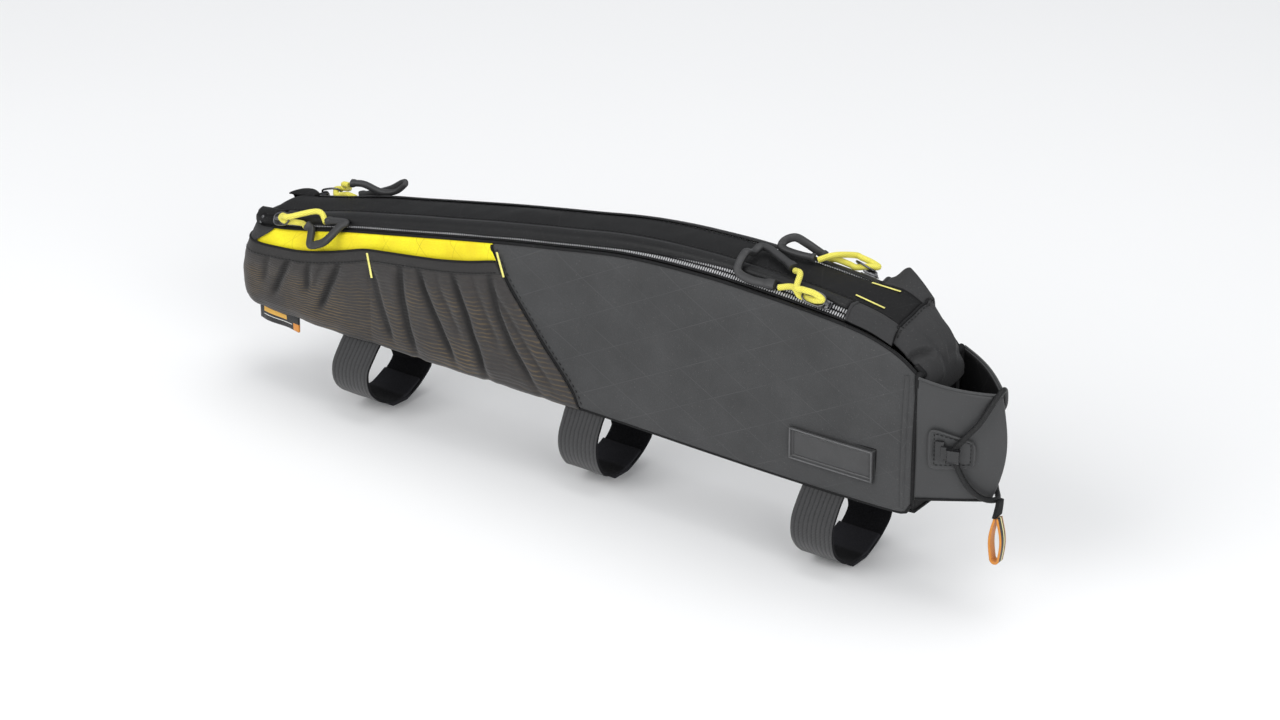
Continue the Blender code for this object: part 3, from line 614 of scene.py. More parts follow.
def rod(route, radius, sides=12, flat=1.0, closed=False, swell=None, caps=True, square=1.0):
    """A round or flattened rod along a route, with a UV map in metres. swell(share) scales its radius."""
    count = len(route) - 1
    forward = []
    for i in range(count + 1):
        after = route[(i + 1) % count] if closed else route[min(i + 1, count)]
        before = route[(i - 1) % count] if closed else route[max(i - 1, 0)]
        forward.append((after - before).normalized())
    side = forward[0].orthogonal().normalized()
    if abs(forward[0].z) < 0.9:
        side = forward[0].cross(Vector((0, 0, 1))).normalized()
    first = side.copy()
    sidesways = []
    for ahead in forward:
        side = (side - ahead * side.dot(ahead)).normalized()
        sidesways.append(side.copy())
    twist = 0.0
    if closed:
        end = sidesways[-1]
        twist = math.atan2(first.cross(end).dot(forward[-1]), first.dot(end))
    length = sum((b - a).length for a, b in zip(route, route[1:]))

    def place(u, v):
        i = round(u * count)
        turned = Matrix.Rotation(-twist * i / count, 3, forward[i])
        one = turned @ sidesways[i]
        other = forward[i].cross(one)
        angle = 2 * math.pi * v
        size = radius * (swell(i / count) if swell else 1)
        c, s = (math.copysign(abs(w) ** square, w) for w in (math.cos(angle), math.sin(angle)))
        return route[i] + one * c * size + other * s * size * flat

    shape = grid(count, sides, place, (length, 2 * math.pi * radius), flip=False)
    bmesh.ops.remove_doubles(shape, verts=shape.verts[:], dist=1e-7)
    if caps and not closed:
        bmesh.ops.holes_fill(shape, edges=[e for e in shape.edges if e.is_boundary], sides=0)
    bmesh.ops.recalc_face_normals(shape, faces=shape.faces[:])
    return shape


def beads(places, size):
    """Small pellets, each at (point, forward, up), with lengths forward, across and up."""
    shape = bmesh.new()
    for at, forward, up in places:
        forward = forward.normalized()
        across = up.cross(forward).normalized()
        up = forward.cross(across)
        turn = Matrix((forward, across, up)).transposed().to_4x4()
        turn.translation = at
        scale = Matrix.Diagonal((size[0] / 2, size[1] / 2, size[2] / 2, 1))
        bmesh.ops.create_icosphere(shape, subdivisions=1, radius=1, matrix=turn @ scale)
    return shape


def soften_edges(shape, by):
    """Rounds all of a shape's edges and turns its faces outward."""
    bmesh.ops.bevel(
        shape, geom=shape.edges[:], offset=by, segments=2, profile=0.5, affect="EDGES", material=-1
    )
    bmesh.ops.recalc_face_normals(shape, faces=shape.faces[:])


def stitch_places(route, pitch, up_at):
    """Stitch places along a route: up_at(point) gives the way off the cloth."""
    places = []
    walked_so_far, due = 0.0, pitch / 2
    for a, b in zip(route, route[1:]):
        span = (b - a).length
        while span and walked_so_far + span >= due:
            at = a + (b - a) * ((due - walked_so_far) / span)
            places.append((at, b - a, up_at(at)))
            due += pitch
        walked_so_far += span
    return places


def stitches(name, route, finish, up_at, pitch=3.0 * MM, size=(2.2, 0.6, 0.55)):
    size = tuple(value * MM for value in size)
    return add_piece(name, beads(stitch_places(route, pitch, up_at), size), finish, sharp=80)


def bar_tack(name, start, end, finish, slot, up_at, width=2.2):
    """A dense bar of thread: short threads lying across a line."""
    route = [start + (end - start) * (i / 40) for i in range(41)]
    places = []
    for at, forward, up in stitch_places(route, 0.42 * MM, up_at):
        across = up.cross(forward).normalized()
        places.append((at, across, up))
    return add_piece(name, beads(places, (width * MM, 0.52 * MM, 0.6 * MM)), finish, sharp=80)


# Materials

class Maker:
    """Adds nodes to a tree. A value may be a number, a colour or a socket."""

    def __init__(self, tree):
        self.tree = tree

    def node(self, kind, values=None, **settings):
        made = self.tree.nodes.new("ShaderNode" + kind)
        for key, value in settings.items():
            setattr(made, key, value)
        for key, value in (values or {}).items():
            self.put(made.inputs[key], value)
        return made

    def put(self, socket, value):
        if isinstance(value, bpy.types.NodeSocket):
            self.tree.links.new(value, socket)
        else:
            socket.default_value = value

    def math(self, operation, *values, clamp_it=False):
        made = self.node("Math", dict(enumerate(values)), operation=operation)
        made.use_clamp = clamp_it
        return made.outputs[0]

    def parts(self, vector):
        return self.node("SeparateXYZ", {"Vector": vector}).outputs

    def range(self, value, low, high, to_low=0.0, to_high=1.0):
        values = {"Value": value, "From Min": low, "From Max": high, "To Min": to_low, "To Max": to_high}
        return self.node("MapRange", values).outputs["Result"]

    def blend(self, share, one, other, kind="MIX"):
        made = self.node("Mix", data_type="RGBA", blend_type=kind)
        self.put(made.inputs[0], share)
        self.put(made.inputs[6], one)
        self.put(made.inputs[7], other)
        return made.outputs[2]

    def noise(self, vector, scale, detail=2.0, rough=0.5):
        values = {"Vector": vector, "Scale": scale, "Detail": detail, "Roughness": rough}
        return self.node("TexNoise", values).outputs["Fac"]

    def group(self, name, **values):
        made = self.node("Group")
        made.node_tree = effect(name)
        for key, value in values.items():
            self.put(made.inputs[key.replace("_", " ")], value)
        return made.outputs


def new_effect(name, inputs, outputs):
    tree = bpy.data.node_groups.new(name, "ShaderNodeTree")
    for label, kind, default in inputs:
        socket = tree.interface.new_socket(name=label, in_out="INPUT", socket_type="NodeSocket" + kind)
        if default is not None:
            socket.default_value = default
    for label, kind in outputs:
        tree.interface.new_socket(name=label, in_out="OUTPUT", socket_type="NodeSocket" + kind)
    entry = tree.nodes.new("NodeGroupInput")
    leave = tree.nodes.new("NodeGroupOutput")
    return Maker(tree), entry.outputs, leave.inputs


def thread_weave():
    """Plain weave: threads over and under each other, and each one a little lighter or darker."""
    m, given, out = new_effect(
        "Thread weave",
        (("Cloth", "Vector", None), ("Pitch", "Float", 0.0006)),
        (("Height", "Float"), ("Shade", "Float")),
    )
    x, y, _ = m.parts(given["Cloth"])
    along = m.math("DIVIDE", x, given["Pitch"])
    across = m.math("DIVIDE", y, given["Pitch"])
    warp = m.math("SINE", m.math("MULTIPLY", along, math.pi))
    weft = m.math("SINE", m.math("MULTIPLY", across, math.pi))
    over = m.math("GREATER_THAN", m.math("MULTIPLY", warp, weft), 0.0)
    height = m.math(
        "ADD",
        m.math("MULTIPLY", m.math("ABSOLUTE", warp), over),
        m.math("MULTIPLY", m.math("ABSOLUTE", weft), m.math("SUBTRACT", 1.0, over)),
    )
    m.put(out["Height"], height)
    lines = m.node("CombineXYZ", {"X": m.math("MULTIPLY", along, 0.5), "Y": m.math("MULTIPLY", across, 0.5)})
    m.put(out["Shade"], m.noise(lines.outputs[0], 1.0, 3.0, 0.7))
    return m.tree


def crossed_lines():
    """Two sets of slanted reinforcing lines, as a mask."""
    m, given, out = new_effect(
        "Crossed lines",
        (
            ("Place", "Vector", None), ("Pitch", "Float", 0.03),
            ("Width", "Float", 0.03), ("Slant", "Float", 0.7),
        ),
        (("Mask", "Float"),),
    )
    x, y, _ = m.parts(given["Place"])
    masks = []
    for sign in (1.0, -1.0):
        lean_in = m.math("MULTIPLY", m.math("MULTIPLY", y, given["Slant"]), sign)
        share = m.math("DIVIDE", m.math("ADD", x, lean_in), given["Pitch"])
        near = m.math("ABSOLUTE", m.math("SUBTRACT", m.math("FRACT", share), 0.5))
        masks.append(m.math("SUBTRACT", 1.0, m.math("DIVIDE", near, given["Width"]), clamp_it=True))
    m.put(out["Mask"], m.math("MAXIMUM", *masks))
    return m.tree


def wear_and_dust():
    """Broad patches, and fine flecks of lint and dust."""
    m, given, out = new_effect(
        "Wear and dust",
        (("Place", "Vector", None), ("Patch", "Float", 35.0), ("Fleck", "Float", 1500.0)),
        (("Tone", "Float"), ("Flecks", "Float")),
    )
    m.put(out["Tone"], m.range(m.noise(given["Place"], given["Patch"], 4.0, 0.6), 0.3, 0.7))
    m.put(out["Flecks"], m.range(m.noise(given["Place"], given["Fleck"], 2.0, 0.5), 0.66, 0.76))
    return m.tree


def ribs():
    """Rounded ribs across a band, wavering a little."""
    m, given, out = new_effect(
        "Ribs",
        (("Cloth", "Vector", None), ("Pitch", "Float", 0.001), ("Waver", "Float", 0.3)),
        (("Height", "Float"), ("Shade", "Float")),
    )
    x, y, _ = m.parts(given["Cloth"])
    wave = m.math("MULTIPLY", m.math("SUBTRACT", m.noise(given["Cloth"], 120.0, 2.0), 0.5), given["Waver"])
    share = m.math("ADD", m.math("DIVIDE", y, given["Pitch"]), wave)
    height = m.math("ABSOLUTE", m.math("SINE", m.math("MULTIPLY", share, math.pi)))
    m.put(out["Height"], height)
    stretched = m.node("CombineXYZ", {"X": m.math("MULTIPLY", x, 160.0), "Y": m.math("MULTIPLY", share, 0.7)})
    m.put(out["Shade"], m.noise(stretched.outputs[0], 1.0, 3.0, 0.7))
    return m.tree


def braid():
    """The plaited cover of a cord: two sets of strands that cross round it."""
    m, given, out = new_effect(
        "Braid",
        (("Cloth", "Vector", None), ("Pitch", "Float", 0.0011)),
        (("Height", "Float"), ("Shade", "Float")),
    )
    x, y, _ = m.parts(given["Cloth"])
    sums = []
    for operation in ("ADD", "SUBTRACT"):
        share = m.math("DIVIDE", m.math(operation, x, y), given["Pitch"])
        sums.append(m.math("SINE", m.math("MULTIPLY", share, math.pi)))
    height = m.math("ABSOLUTE", m.math("MULTIPLY", *sums))
    m.put(out["Height"], m.math("POWER", height, 0.6))
    m.put(out["Shade"], m.noise(given["Cloth"], 900.0, 2.0))
    return m.tree


EFFECTS = {
    "Thread weave": thread_weave,
    "Crossed lines": crossed_lines,
    "Wear and dust": wear_and_dust,
    "Ribs": ribs,
    "Braid": braid,
}


def effect(name):
    return bpy.data.node_groups.get(name) or EFFECTS[name]()


def new_finish(name, roughness, metallic=0.0, sheen=0.0, specular=0.5):
    made = bpy.data.materials.new("bag_" + name)
    made.use_nodes = True
    made.node_tree.nodes.clear()
    m = Maker(made.node_tree)
    shader = m.node("BsdfPrincipled")
    shader.inputs["Metallic"].default_value = metallic
    shader.inputs["Roughness"].default_value = roughness
    shader.inputs["Sheen Weight"].default_value = sheen
    shader.inputs["Sheen Roughness"].default_value = 0.5
    shader.inputs["Specular IOR Level"].default_value = specular
    m.put(m.node("OutputMaterial").inputs["Surface"], shader.outputs[0])
    return m, shader


def tinted(colour, by):
    return (*(clamp(value * by) for value in colour), 1.0)


def woven(
    name, colour, pitch, weave, lines=0.0, line_pitch=0.03, slant=0.62, roughness=0.75, sheen=0.1,
    line_tint=1.35,
):
    """Woven cloth: threads, faint crossed lines, worn patches and lint."""
    m, shader = new_finish(name, roughness, sheen=sheen, specular=0.25)
    cloth = m.node("UVMap", uv_map="cloth").outputs[0]
    place = m.node("TexCoord").outputs["Object"]
    threads = m.group("Thread weave", Cloth=cloth, Pitch=pitch)
    wear = m.group("Wear and dust", Place=place)
    tone = m.blend(wear["Tone"], tinted(colour, 0.78), tinted(colour, 1.18))
    tone = m.blend(m.range(threads["Shade"], 0.3, 0.7, 0.0, 0.5), tone, tinted(colour, 0.7))
    tone = m.blend(m.math("MULTIPLY", wear["Flecks"], 0.12), tone, (0.45, 0.44, 0.42, 1))
    height = threads["Height"]
    if lines:
        crossed = m.group("Crossed lines", Place=cloth, Pitch=line_pitch, Width=0.014, Slant=slant)
        broken = m.math("MULTIPLY", crossed["Mask"], m.range(m.noise(place, 45.0), 0.35, 0.6, 0.25, 1.0))
        tone = m.blend(m.math("MULTIPLY", broken, lines), tone, tinted(colour, line_tint))
        height = m.math("ADD", height, m.math("MULTIPLY", broken, 1.5))
    m.put(shader.inputs["Base Color"], tone)
    m.put(shader.inputs["Roughness"], m.range(wear["Tone"], 0.0, 1.0, roughness - 0.06, roughness + 0.06))
    bump = m.node("Bump", {"Strength": weave, "Distance": 0.00012, "Height": height})
    m.put(shader.inputs["Normal"], bump.outputs[0])


def grey_cloth():
    colours = bpy.context.scene.bag_colours
    woven(
        "grey_cloth", colours.grey_cloth, 0.0005, 0.3,
        lines=0.5, line_pitch=0.042, slant=1.9, roughness=0.7, sheen=0.05, line_tint=1.7,
    )


def hood_cloth():
    """The softer cloth of the hood and of the flaps over the zips' ends: the side's grey made darker, as
    painted shade.
    """
    woven("hood_cloth", bpy.context.scene.bag_colours.hood_cloth, 0.0005, 0.35, roughness=0.72, sheen=0.05)


def black_cloth():
    colours = bpy.context.scene.bag_colours
    woven(
        "black_cloth", colours.black_cloth, 0.0006, 0.4,
        lines=0.7, line_pitch=0.034, roughness=0.7, sheen=0.0, line_tint=2.6,
    )


def hem_cloth():
    woven("hem_cloth", bpy.context.scene.bag_colours.hem_cloth, 0.0006, 0.4, roughness=0.75)


def tack_thread():
    """Pale yellow thread of the bar tacks."""
    moulded("tack_thread", bpy.context.scene.bag_colours.tack_thread, 0.6, 3000.0, grain=0.5, specular=0.3)


def satin_cloth():
    """The coated cloth of the zips' rolled edges."""
    woven("satin_cloth", bpy.context.scene.bag_colours.satin_cloth, 0.0006, 0.25, roughness=0.42, sheen=0.0)


def yellow_cloth():
    colours = bpy.context.scene.bag_colours
    woven(
        "yellow_cloth", colours.yellow_cloth, 0.0005, 0.3,
        lines=0.9, line_pitch=0.026, roughness=0.6, sheen=0.0, line_tint=0.5,
    )


def coated_cloth():
    """Smooth coated cloth with a fine grain."""
    colours = bpy.context.scene.bag_colours
    m, shader = new_finish("coated_cloth", 0.5, sheen=0.05, specular=0.4)
    place = m.node("TexCoord").outputs["Object"]
    wear = m.group("Wear and dust", Place=place, Patch=28.0, Fleck=1800.0)
    tone = m.blend(wear["Tone"], tinted(colours.coated_cloth, 0.9), tinted(colours.coated_cloth, 1.1))
    tone = m.blend(m.math("MULTIPLY", wear["Flecks"], 0.1), tone, (0.4, 0.4, 0.4, 1))
    m.put(shader.inputs["Base Color"], tone)
    m.put(shader.inputs["Roughness"], m.range(wear["Tone"], 0.0, 1.0, 0.46, 0.58))
    grain = m.noise(place, 2600.0, 2.0)
    bump = m.node("Bump", {"Strength": 0.25, "Distance": 0.00008, "Height": grain})
    m.put(shader.inputs["Normal"], bump.outputs[0])


def mesh_cloth():
    """Ribbed stretch mesh: the yellow cloth behind glows between its ribs, and its folds are painted dark:
    painted shade, with some real darkening where the mesh lies doubled.
    """
    colours = bpy.context.scene.bag_colours
    m, shader = new_finish("mesh_cloth", 0.72, sheen=0.15, specular=0.3)
    cloth = m.node("UVMap", uv_map="cloth").outputs[0]
    place = m.node("TexCoord").outputs["Object"]
    deep = m.node("Attribute", attribute_name="fold").outputs["Fac"]
    rib = m.group("Ribs", Cloth=cloth, Pitch=bpy.context.scene.bag_details.mesh_rib, Waver=1.3)
    x, y, _ = m.parts(cloth)
    cells = m.math("ABSOLUTE", m.math("SINE", m.math("MULTIPLY", x, math.pi / 0.0009)))
    gap = m.math("SUBTRACT", 1.0, rib["Height"])
    open_share = m.math("MULTIPLY", m.range(gap, 0.3, 0.85), m.range(cells, 0.1, 0.7, 0.5, 1.0))
    patches = m.range(m.noise(place, 26.0, 4.0, 0.65), 0.42, 0.64, 0.05, 1.0)
    patches = m.math("MULTIPLY", patches, m.range(y, 0.040, 0.054, 1.0, 0.1))
    # Painted shade: the glow is cut where the mesh lies deep in a fold.
    glow = m.math("MULTIPLY", m.math("MULTIPLY", open_share, patches), m.range(deep, 0.05, 0.6, 1.0, 0.0))
    dark = m.blend(rib["Shade"], tinted(colours.mesh_cloth, 0.6), tinted(colours.mesh_cloth, 1.35))
    # Painted shade: the mesh darkened in its folds, partly also the real doubling of the mesh there.
    dark = m.blend(m.range(deep, 0.25, 1.0, 0.0, 0.85), dark, tinted(colours.mesh_cloth, 0.12))
    tone = m.blend(m.math("MULTIPLY", glow, 0.8), dark, tinted(colours.mesh_glow, 1.0))
    m.put(shader.inputs["Base Color"], tone)
    height = m.math("ADD", m.math("MULTIPLY", rib["Height"], 0.9), m.math("MULTIPLY", cells, 0.25))
    bump = m.node("Bump", {"Strength": 0.7, "Distance": 0.0003, "Height": height})
    m.put(shader.inputs["Normal"], bump.outputs[0])


def strap_webbing():
    """Hook-and-loop webbing: ribs along it, a fine weave across them and a fuzzy nap."""
    colour = bpy.context.scene.bag_colours.strap_webbing
    m, shader = new_finish("strap_webbing", 0.9, sheen=0.2, specular=0.2)
    cloth = m.node("UVMap", uv_map="cloth").outputs[0]
    place = m.node("TexCoord").outputs["Object"]
    x, y, _ = m.parts(cloth)
    turned = m.node("CombineXYZ", {"X": y, "Y": x}).outputs[0]
    rib = m.group("Ribs", Cloth=turned, Pitch=bpy.context.scene.bag_details.webbing_rib, Waver=0.25)
    picks = m.math("ABSOLUTE", m.math("SINE", m.math("MULTIPLY", y, math.pi / 0.0009)))
    nap = m.noise(place, 1400.0, 3.0, 0.7)
    # Painted shade and light: darker in the grooves between ribs and between picks, lighter on the ribs'
    # crests.
    tone = m.blend(m.range(rib["Height"], 0.05, 0.7), tinted(colour, 0.35), tinted(colour, 1.15))
    tone = m.blend(m.range(picks, 0.0, 0.6, 0.55, 0.0), tone, tinted(colour, 0.4))
    tone = m.blend(m.range(nap, 0.35, 0.75, 0.0, 0.5), tone, tinted(colour, 1.7))
    m.put(shader.inputs["Base Color"], tone)
    height = m.math("ADD", m.math("MULTIPLY", rib["Height"], 0.8), m.math("MULTIPLY", picks, 0.4))
    height = m.math("ADD", height, m.math("MULTIPLY", nap, 0.4))
    bump = m.node("Bump", {"Strength": 0.7, "Distance": 0.0004, "Height": height})
    m.put(shader.inputs["Normal"], bump.outputs[0])


def strap_inside():
    """The straps' inner face: a black nap of loops, with a lighter patch of hooks at the end. Its near-black
    tone is partly the hook side's own colour and partly painted shade for the deep shadow inside the loops.
    """
    colour = bpy.context.scene.bag_colours.strap_inside
    m, shader = new_finish("strap_inside", 0.95, sheen=0.03, specular=0.1)
    place = m.node("TexCoord").outputs["Object"]
    _, y, _ = m.parts(m.node("UVMap", uv_map="cloth").outputs[0])
    nap = m.noise(place, 1100.0, 3.0, 0.75)
    tone = m.blend(m.range(nap, 0.3, 0.7), tinted(colour, 0.5), tinted(colour, 1.8))
    tone = m.blend(m.range(y, 0.064, 0.066), tone, m.blend(nap, tinted(colour, 1.5), tinted(colour, 5.0)))
    m.put(shader.inputs["Base Color"], tone)
    bump = m.node("Bump", {"Strength": 0.8, "Distance": 0.0005, "Height": nap})
    m.put(shader.inputs["Normal"], bump.outputs[0])


def braided(name, colour, roughness, sheen=0.0):
    m, shader = new_finish(name, roughness, sheen=sheen, specular=0.35)
    cloth = m.node("UVMap", uv_map="cloth").outputs[0]
    strands = m.group("Braid", Cloth=cloth, Pitch=bpy.context.scene.bag_details.braid)
    # Painted shade and light: darker between the strands, lighter on their crests.
    tone = m.blend(m.range(strands["Height"], 0.1, 0.8), tinted(colour, 0.55), tinted(colour, 1.05))
    tone = m.blend(m.range(strands["Shade"], 0.4, 0.7, 0.0, 0.3), tone, tinted(colour, 0.7))
    m.put(shader.inputs["Base Color"], tone)
    bump = m.node("Bump", {"Strength": 0.7, "Distance": 0.0003, "Height": strands["Height"]})
    m.put(shader.inputs["Normal"], bump.outputs[0])


def yellow_cord():
    braided("yellow_cord", bpy.context.scene.bag_colours.yellow_cord, 0.65, sheen=0.1)


def black_cord():
    braided("black_cord", bpy.context.scene.bag_colours.black_cord, 0.38)


def moulded(name, colour, roughness, grain_scale, metallic=0.0, grain=0.2, specular=0.5):
    """Moulded rubber or plastic, or plated metal, with grain and rubbed patches."""
    m, shader = new_finish(name, roughness, metallic=metallic, specular=specular)
    place = m.node("TexCoord").outputs["Object"]
    wear = m.group("Wear and dust", Place=place, Patch=90.0, Fleck=2200.0)
    tone = m.blend(wear["Tone"], tinted(colour, 0.85), tinted(colour, 1.15))
    tone = m.blend(m.math("MULTIPLY", wear["Flecks"], 0.08), tone, (0.5, 0.5, 0.5, 1))
    m.put(shader.inputs["Base Color"], tone)
    m.put(shader.inputs["Roughness"], m.range(wear["Tone"], 0.0, 1.0, roughness - 0.08, roughness + 0.08))
    bump = m.node("Bump", {"Strength": grain, "Distance": 0.0001, "Height": m.noise(place, grain_scale, 3.0)})
    m.put(shader.inputs["Normal"], bump.outputs[0])


def grey_rubber():
    moulded("grey_rubber", bpy.context.scene.bag_colours.grey_rubber, 0.38, 1800.0, grain=0.2)


def rubber_crest():
    """A painted highlight along the badge's raised border: the badge rubber made paler."""
    paler = tinted(bpy.context.scene.bag_colours.grey_rubber, 2.2)[:3]
    moulded("rubber_crest", paler, 0.3, 1800.0, grain=0.1)


def handle_rubber():
    moulded("handle_rubber", bpy.context.scene.bag_colours.handle_rubber, 0.5, 1800.0, grain=0.3)


def black_plastic():
    colour = bpy.context.scene.bag_colours.black_plastic
    moulded("black_plastic", colour, 0.2, 2500.0, grain=0.1, specular=0.6)


# Painted highlight: the dark coils are given a pale grey that stands for the glints along them.
def zip_teeth():
    moulded("zip_teeth", bpy.context.scene.bag_colours.zip_teeth, 0.3, 2500.0, specular=0.7)


def dark_metal():
    moulded("dark_metal", bpy.context.scene.bag_colours.dark_metal, 0.28, 1200.0, metallic=1.0, grain=0.1)


def orange_ribbon():
    """Woven ribbon with ribs across it."""
    colours = bpy.context.scene.bag_colours
    m, shader = new_finish("orange_ribbon", 0.6, sheen=0.3, specular=0.4)
    cloth = m.node("UVMap", uv_map="cloth").outputs[0]
    rib = m.group("Ribs", Cloth=cloth, Pitch=0.0007, Waver=0.1)
    colour = colours.orange_ribbon
    # Painted shade and light: darker in the grooves between ribs, lighter on their crests.
    tone = m.blend(m.range(rib["Height"], 0.1, 0.9), tinted(colour, 0.6), tinted(colour, 1.1))
    m.put(shader.inputs["Base Color"], tone)
    bump = m.node("Bump", {"Strength": 0.5, "Distance": 0.00015, "Height": rib["Height"]})
    m.put(shader.inputs["Normal"], bump.outputs[0])


def between(m, value, low, high):
    """A mask that is 1 where the value lies between two others."""
    return m.math("MULTIPLY", m.math("GREATER_THAN", value, low), m.math("LESS_THAN", value, high))


def striped_ribbon():
    """The ribbon's outer face: black, with one plain pale stripe along it."""
    colours = bpy.context.scene.bag_colours
    m, shader = new_finish("striped_ribbon", 0.55, sheen=0.2, specular=0.4)
    cloth = m.node("UVMap", uv_map="cloth").outputs[0]
    x, _, _ = m.parts(cloth)
    rib = m.group("Ribs", Cloth=cloth, Pitch=0.0007, Waver=0.1)
    stripe = between(m, x, 0.0040, 0.0052)
    edge = m.math("SUBTRACT", 1.0, between(m, x, 0.0007, 0.0063))
    # Painted shade and light: darker in the grooves between ribs, lighter on their crests.
    tone = m.blend(rib["Height"], tinted(colours.black_cloth, 0.6), tinted(colours.black_cloth, 1.6))
    tone = m.blend(stripe, tone, (0.80, 0.72, 0.35, 1))
    tone = m.blend(edge, tone, tinted(colours.orange_ribbon, 1.0))
    m.put(shader.inputs["Base Color"], tone)
    bump = m.node("Bump", {"Strength": 0.5, "Distance": 0.00015, "Height": rib["Height"]})
    m.put(shader.inputs["Normal"], bump.outputs[0])


def label_cloth():
    """The sewn label: black, with a plain amber bar, a thin pale line and an orange front edge."""
    colours = bpy.context.scene.bag_colours
    m, shader = new_finish("label_cloth", 0.55, sheen=0.2, specular=0.4)
    cloth = m.node("UVMap", uv_map="cloth").outputs[0]
    x, y, _ = m.parts(cloth)
    bar = m.math("MULTIPLY", between(m, x, 0.0035, 0.0215), between(m, y, 0.0048, 0.0076))
    line = m.math("MULTIPLY", between(m, x, 0.0035, 0.0255), between(m, y, 0.0030, 0.0034))
    edge = m.math("MULTIPLY", m.math("GREATER_THAN", x, 0.0265), m.math("LESS_THAN", y, 0.0045))
    threads = m.group("Thread weave", Cloth=cloth, Pitch=0.0005)
    black = m.blend(threads["Shade"], tinted(colours.black_cloth, 0.5), tinted(colours.black_cloth, 1.3))
    tone = m.blend(bar, black, (0.72, 0.40, 0.06, 1))
    tone = m.blend(edge, tone, tinted(colours.orange_ribbon, 1.0))
    tone = m.blend(line, tone, (0.75, 0.75, 0.72, 1))
    m.put(shader.inputs["Base Color"], tone)
    bump = m.node("Bump", {"Strength": 0.5, "Distance": 0.0001, "Height": threads["Height"]})
    m.put(shader.inputs["Normal"], bump.outputs[0])


def pale_floor():
    m, shader = new_finish("pale_floor", 0.85, specular=0.2)
    place = m.node("TexCoord").outputs["Object"]
    shade = bpy.context.scene.bag_stage.floor_shade
    grey = (shade, shade, shade)
    tone = m.blend(m.noise(place, 3.0, 2.0), tinted(grey, 0.985), tinted(grey, 1.01))
    m.put(shader.inputs["Base Color"], tone)


FINISHES = {
    maker.__name__: maker
    for maker in (
        grey_cloth, hood_cloth, black_cloth, hem_cloth, tack_thread, satin_cloth, yellow_cloth, coated_cloth,
        mesh_cloth, strap_webbing, strap_inside, yellow_cord, black_cord, grey_rubber, rubber_crest,
        handle_rubber, black_plastic, zip_teeth, dark_metal, orange_ribbon, striped_ribbon, label_cloth,
        pale_floor,
    )
}


def finish(name):
    """The bag's own material of this name, made when it is first asked for."""
    if "bag_" + name not in bpy.data.materials:
        FINISHES[name]()
    return bpy.data.materials["bag_" + name]


# Settings

def colour_setting(name, description, default):
    return FloatVectorProperty(
        name=name, description=description, subtype="COLOR", size=3, min=0, max=1, default=default
    )


def length_setting(name, description, default):
    return FloatProperty(
        name=name, description=description, default=default, min=0, unit="LENGTH", precision=5
    )


class BagColours(PropertyGroup):
    """Base colours of the bag's materials."""

    grey_cloth: colour_setting("Grey cloth", "Side panels and rear end", (0.053, 0.0535, 0.0545))
    # Painted shade: the side's grey darkened for the hood and the flaps over the zips' ends.
    hood_cloth: colour_setting("Hood cloth", "Hood and the flaps over the zips' ends", (0.031, 0.031, 0.032))
    black_cloth: colour_setting("Black cloth", "Top panel, seams and base", (0.0065, 0.0065, 0.007))
    hem_cloth: colour_setting("Hem", "Hem of the side pocket", (0.030, 0.0285, 0.028))
    tack_thread: colour_setting("Bar tacks", "Thread of the bar tacks", (0.88, 0.82, 0.26))
    satin_cloth: colour_setting("Satin cloth", "Rolled edges of the zips", (0.0105, 0.0105, 0.011))
    yellow_cloth: colour_setting("Yellow cloth", "Cloth behind the side pocket", (1.0, 0.78, 0.022))
    coated_cloth: colour_setting("Coated cloth", "Front pocket and its patches", (0.041, 0.0415, 0.0425))
    mesh_cloth: colour_setting("Mesh", "Ribs of the side pocket's mesh", (0.034, 0.031, 0.030))
    mesh_glow: colour_setting("Mesh glow", "What shows between the mesh's ribs", (0.165, 0.112, 0.048))
    strap_webbing: colour_setting("Webbing", "Outer face of the straps", (0.040, 0.040, 0.041))
    # Partly painted shade: the lining is made near-black for the deep shadow inside the strap loops, as well
    # as for its own black.
    strap_inside: colour_setting("Strap lining", "Inner face of the straps", (0.006, 0.006, 0.007))
    yellow_cord: colour_setting("Yellow cord", "Cords of the zip pulls", (1.0, 0.88, 0.13))
    black_cord: colour_setting("Black cord", "Elastic cord of the front pocket", (0.007, 0.007, 0.0075))
    grey_rubber: colour_setting("Badge rubber", "The blank badge", (0.040, 0.040, 0.041))
    handle_rubber: colour_setting("Handle rubber", "Moulded loops of the zip pulls", (0.024, 0.024, 0.025))
    black_plastic: colour_setting("Black plastic", "Hooks of the elastic cord", (0.012, 0.012, 0.013))
    # Painted highlight: a pale grey for the glints on the dark coils.
    zip_teeth: colour_setting("Zip teeth", "Coils of the two zips", (0.46, 0.46, 0.47))
    dark_metal: colour_setting("Dark metal", "Zip sliders, rings and rivets", (0.12, 0.12, 0.125))
    orange_ribbon: colour_setting("Orange ribbon", "Ribbon's inner face and label's edge", (0.66, 0.25, 0.03))


class BagDetails(PropertyGroup):
    """Sizes of the bag's small features."""

    mesh_rib: length_setting("Mesh rib", "Distance between the side pocket's ribs", 0.0024)
    webbing_rib: length_setting("Webbing rib", "Distance between the straps' ribs", 0.0026)
    braid: length_setting("Braid", "Width of a strand in the cords' cover", 0.0011)
    tooth_pitch: length_setting("Tooth pitch", "Distance between the zips' teeth", 0.00145)
    side_swell: length_setting("Side swell", "How far a side panel stands out between its seams", 0.0007)
    rumple_depth: length_setting("Rumples", "Depth of the soft unevenness of the cloth", 0.0007)
    # Also the thickness of the black top piping, which paints the shadow line along the sides' top seams.
    piping: length_setting("Piping", "Thickness of the bound seams", 0.0017)


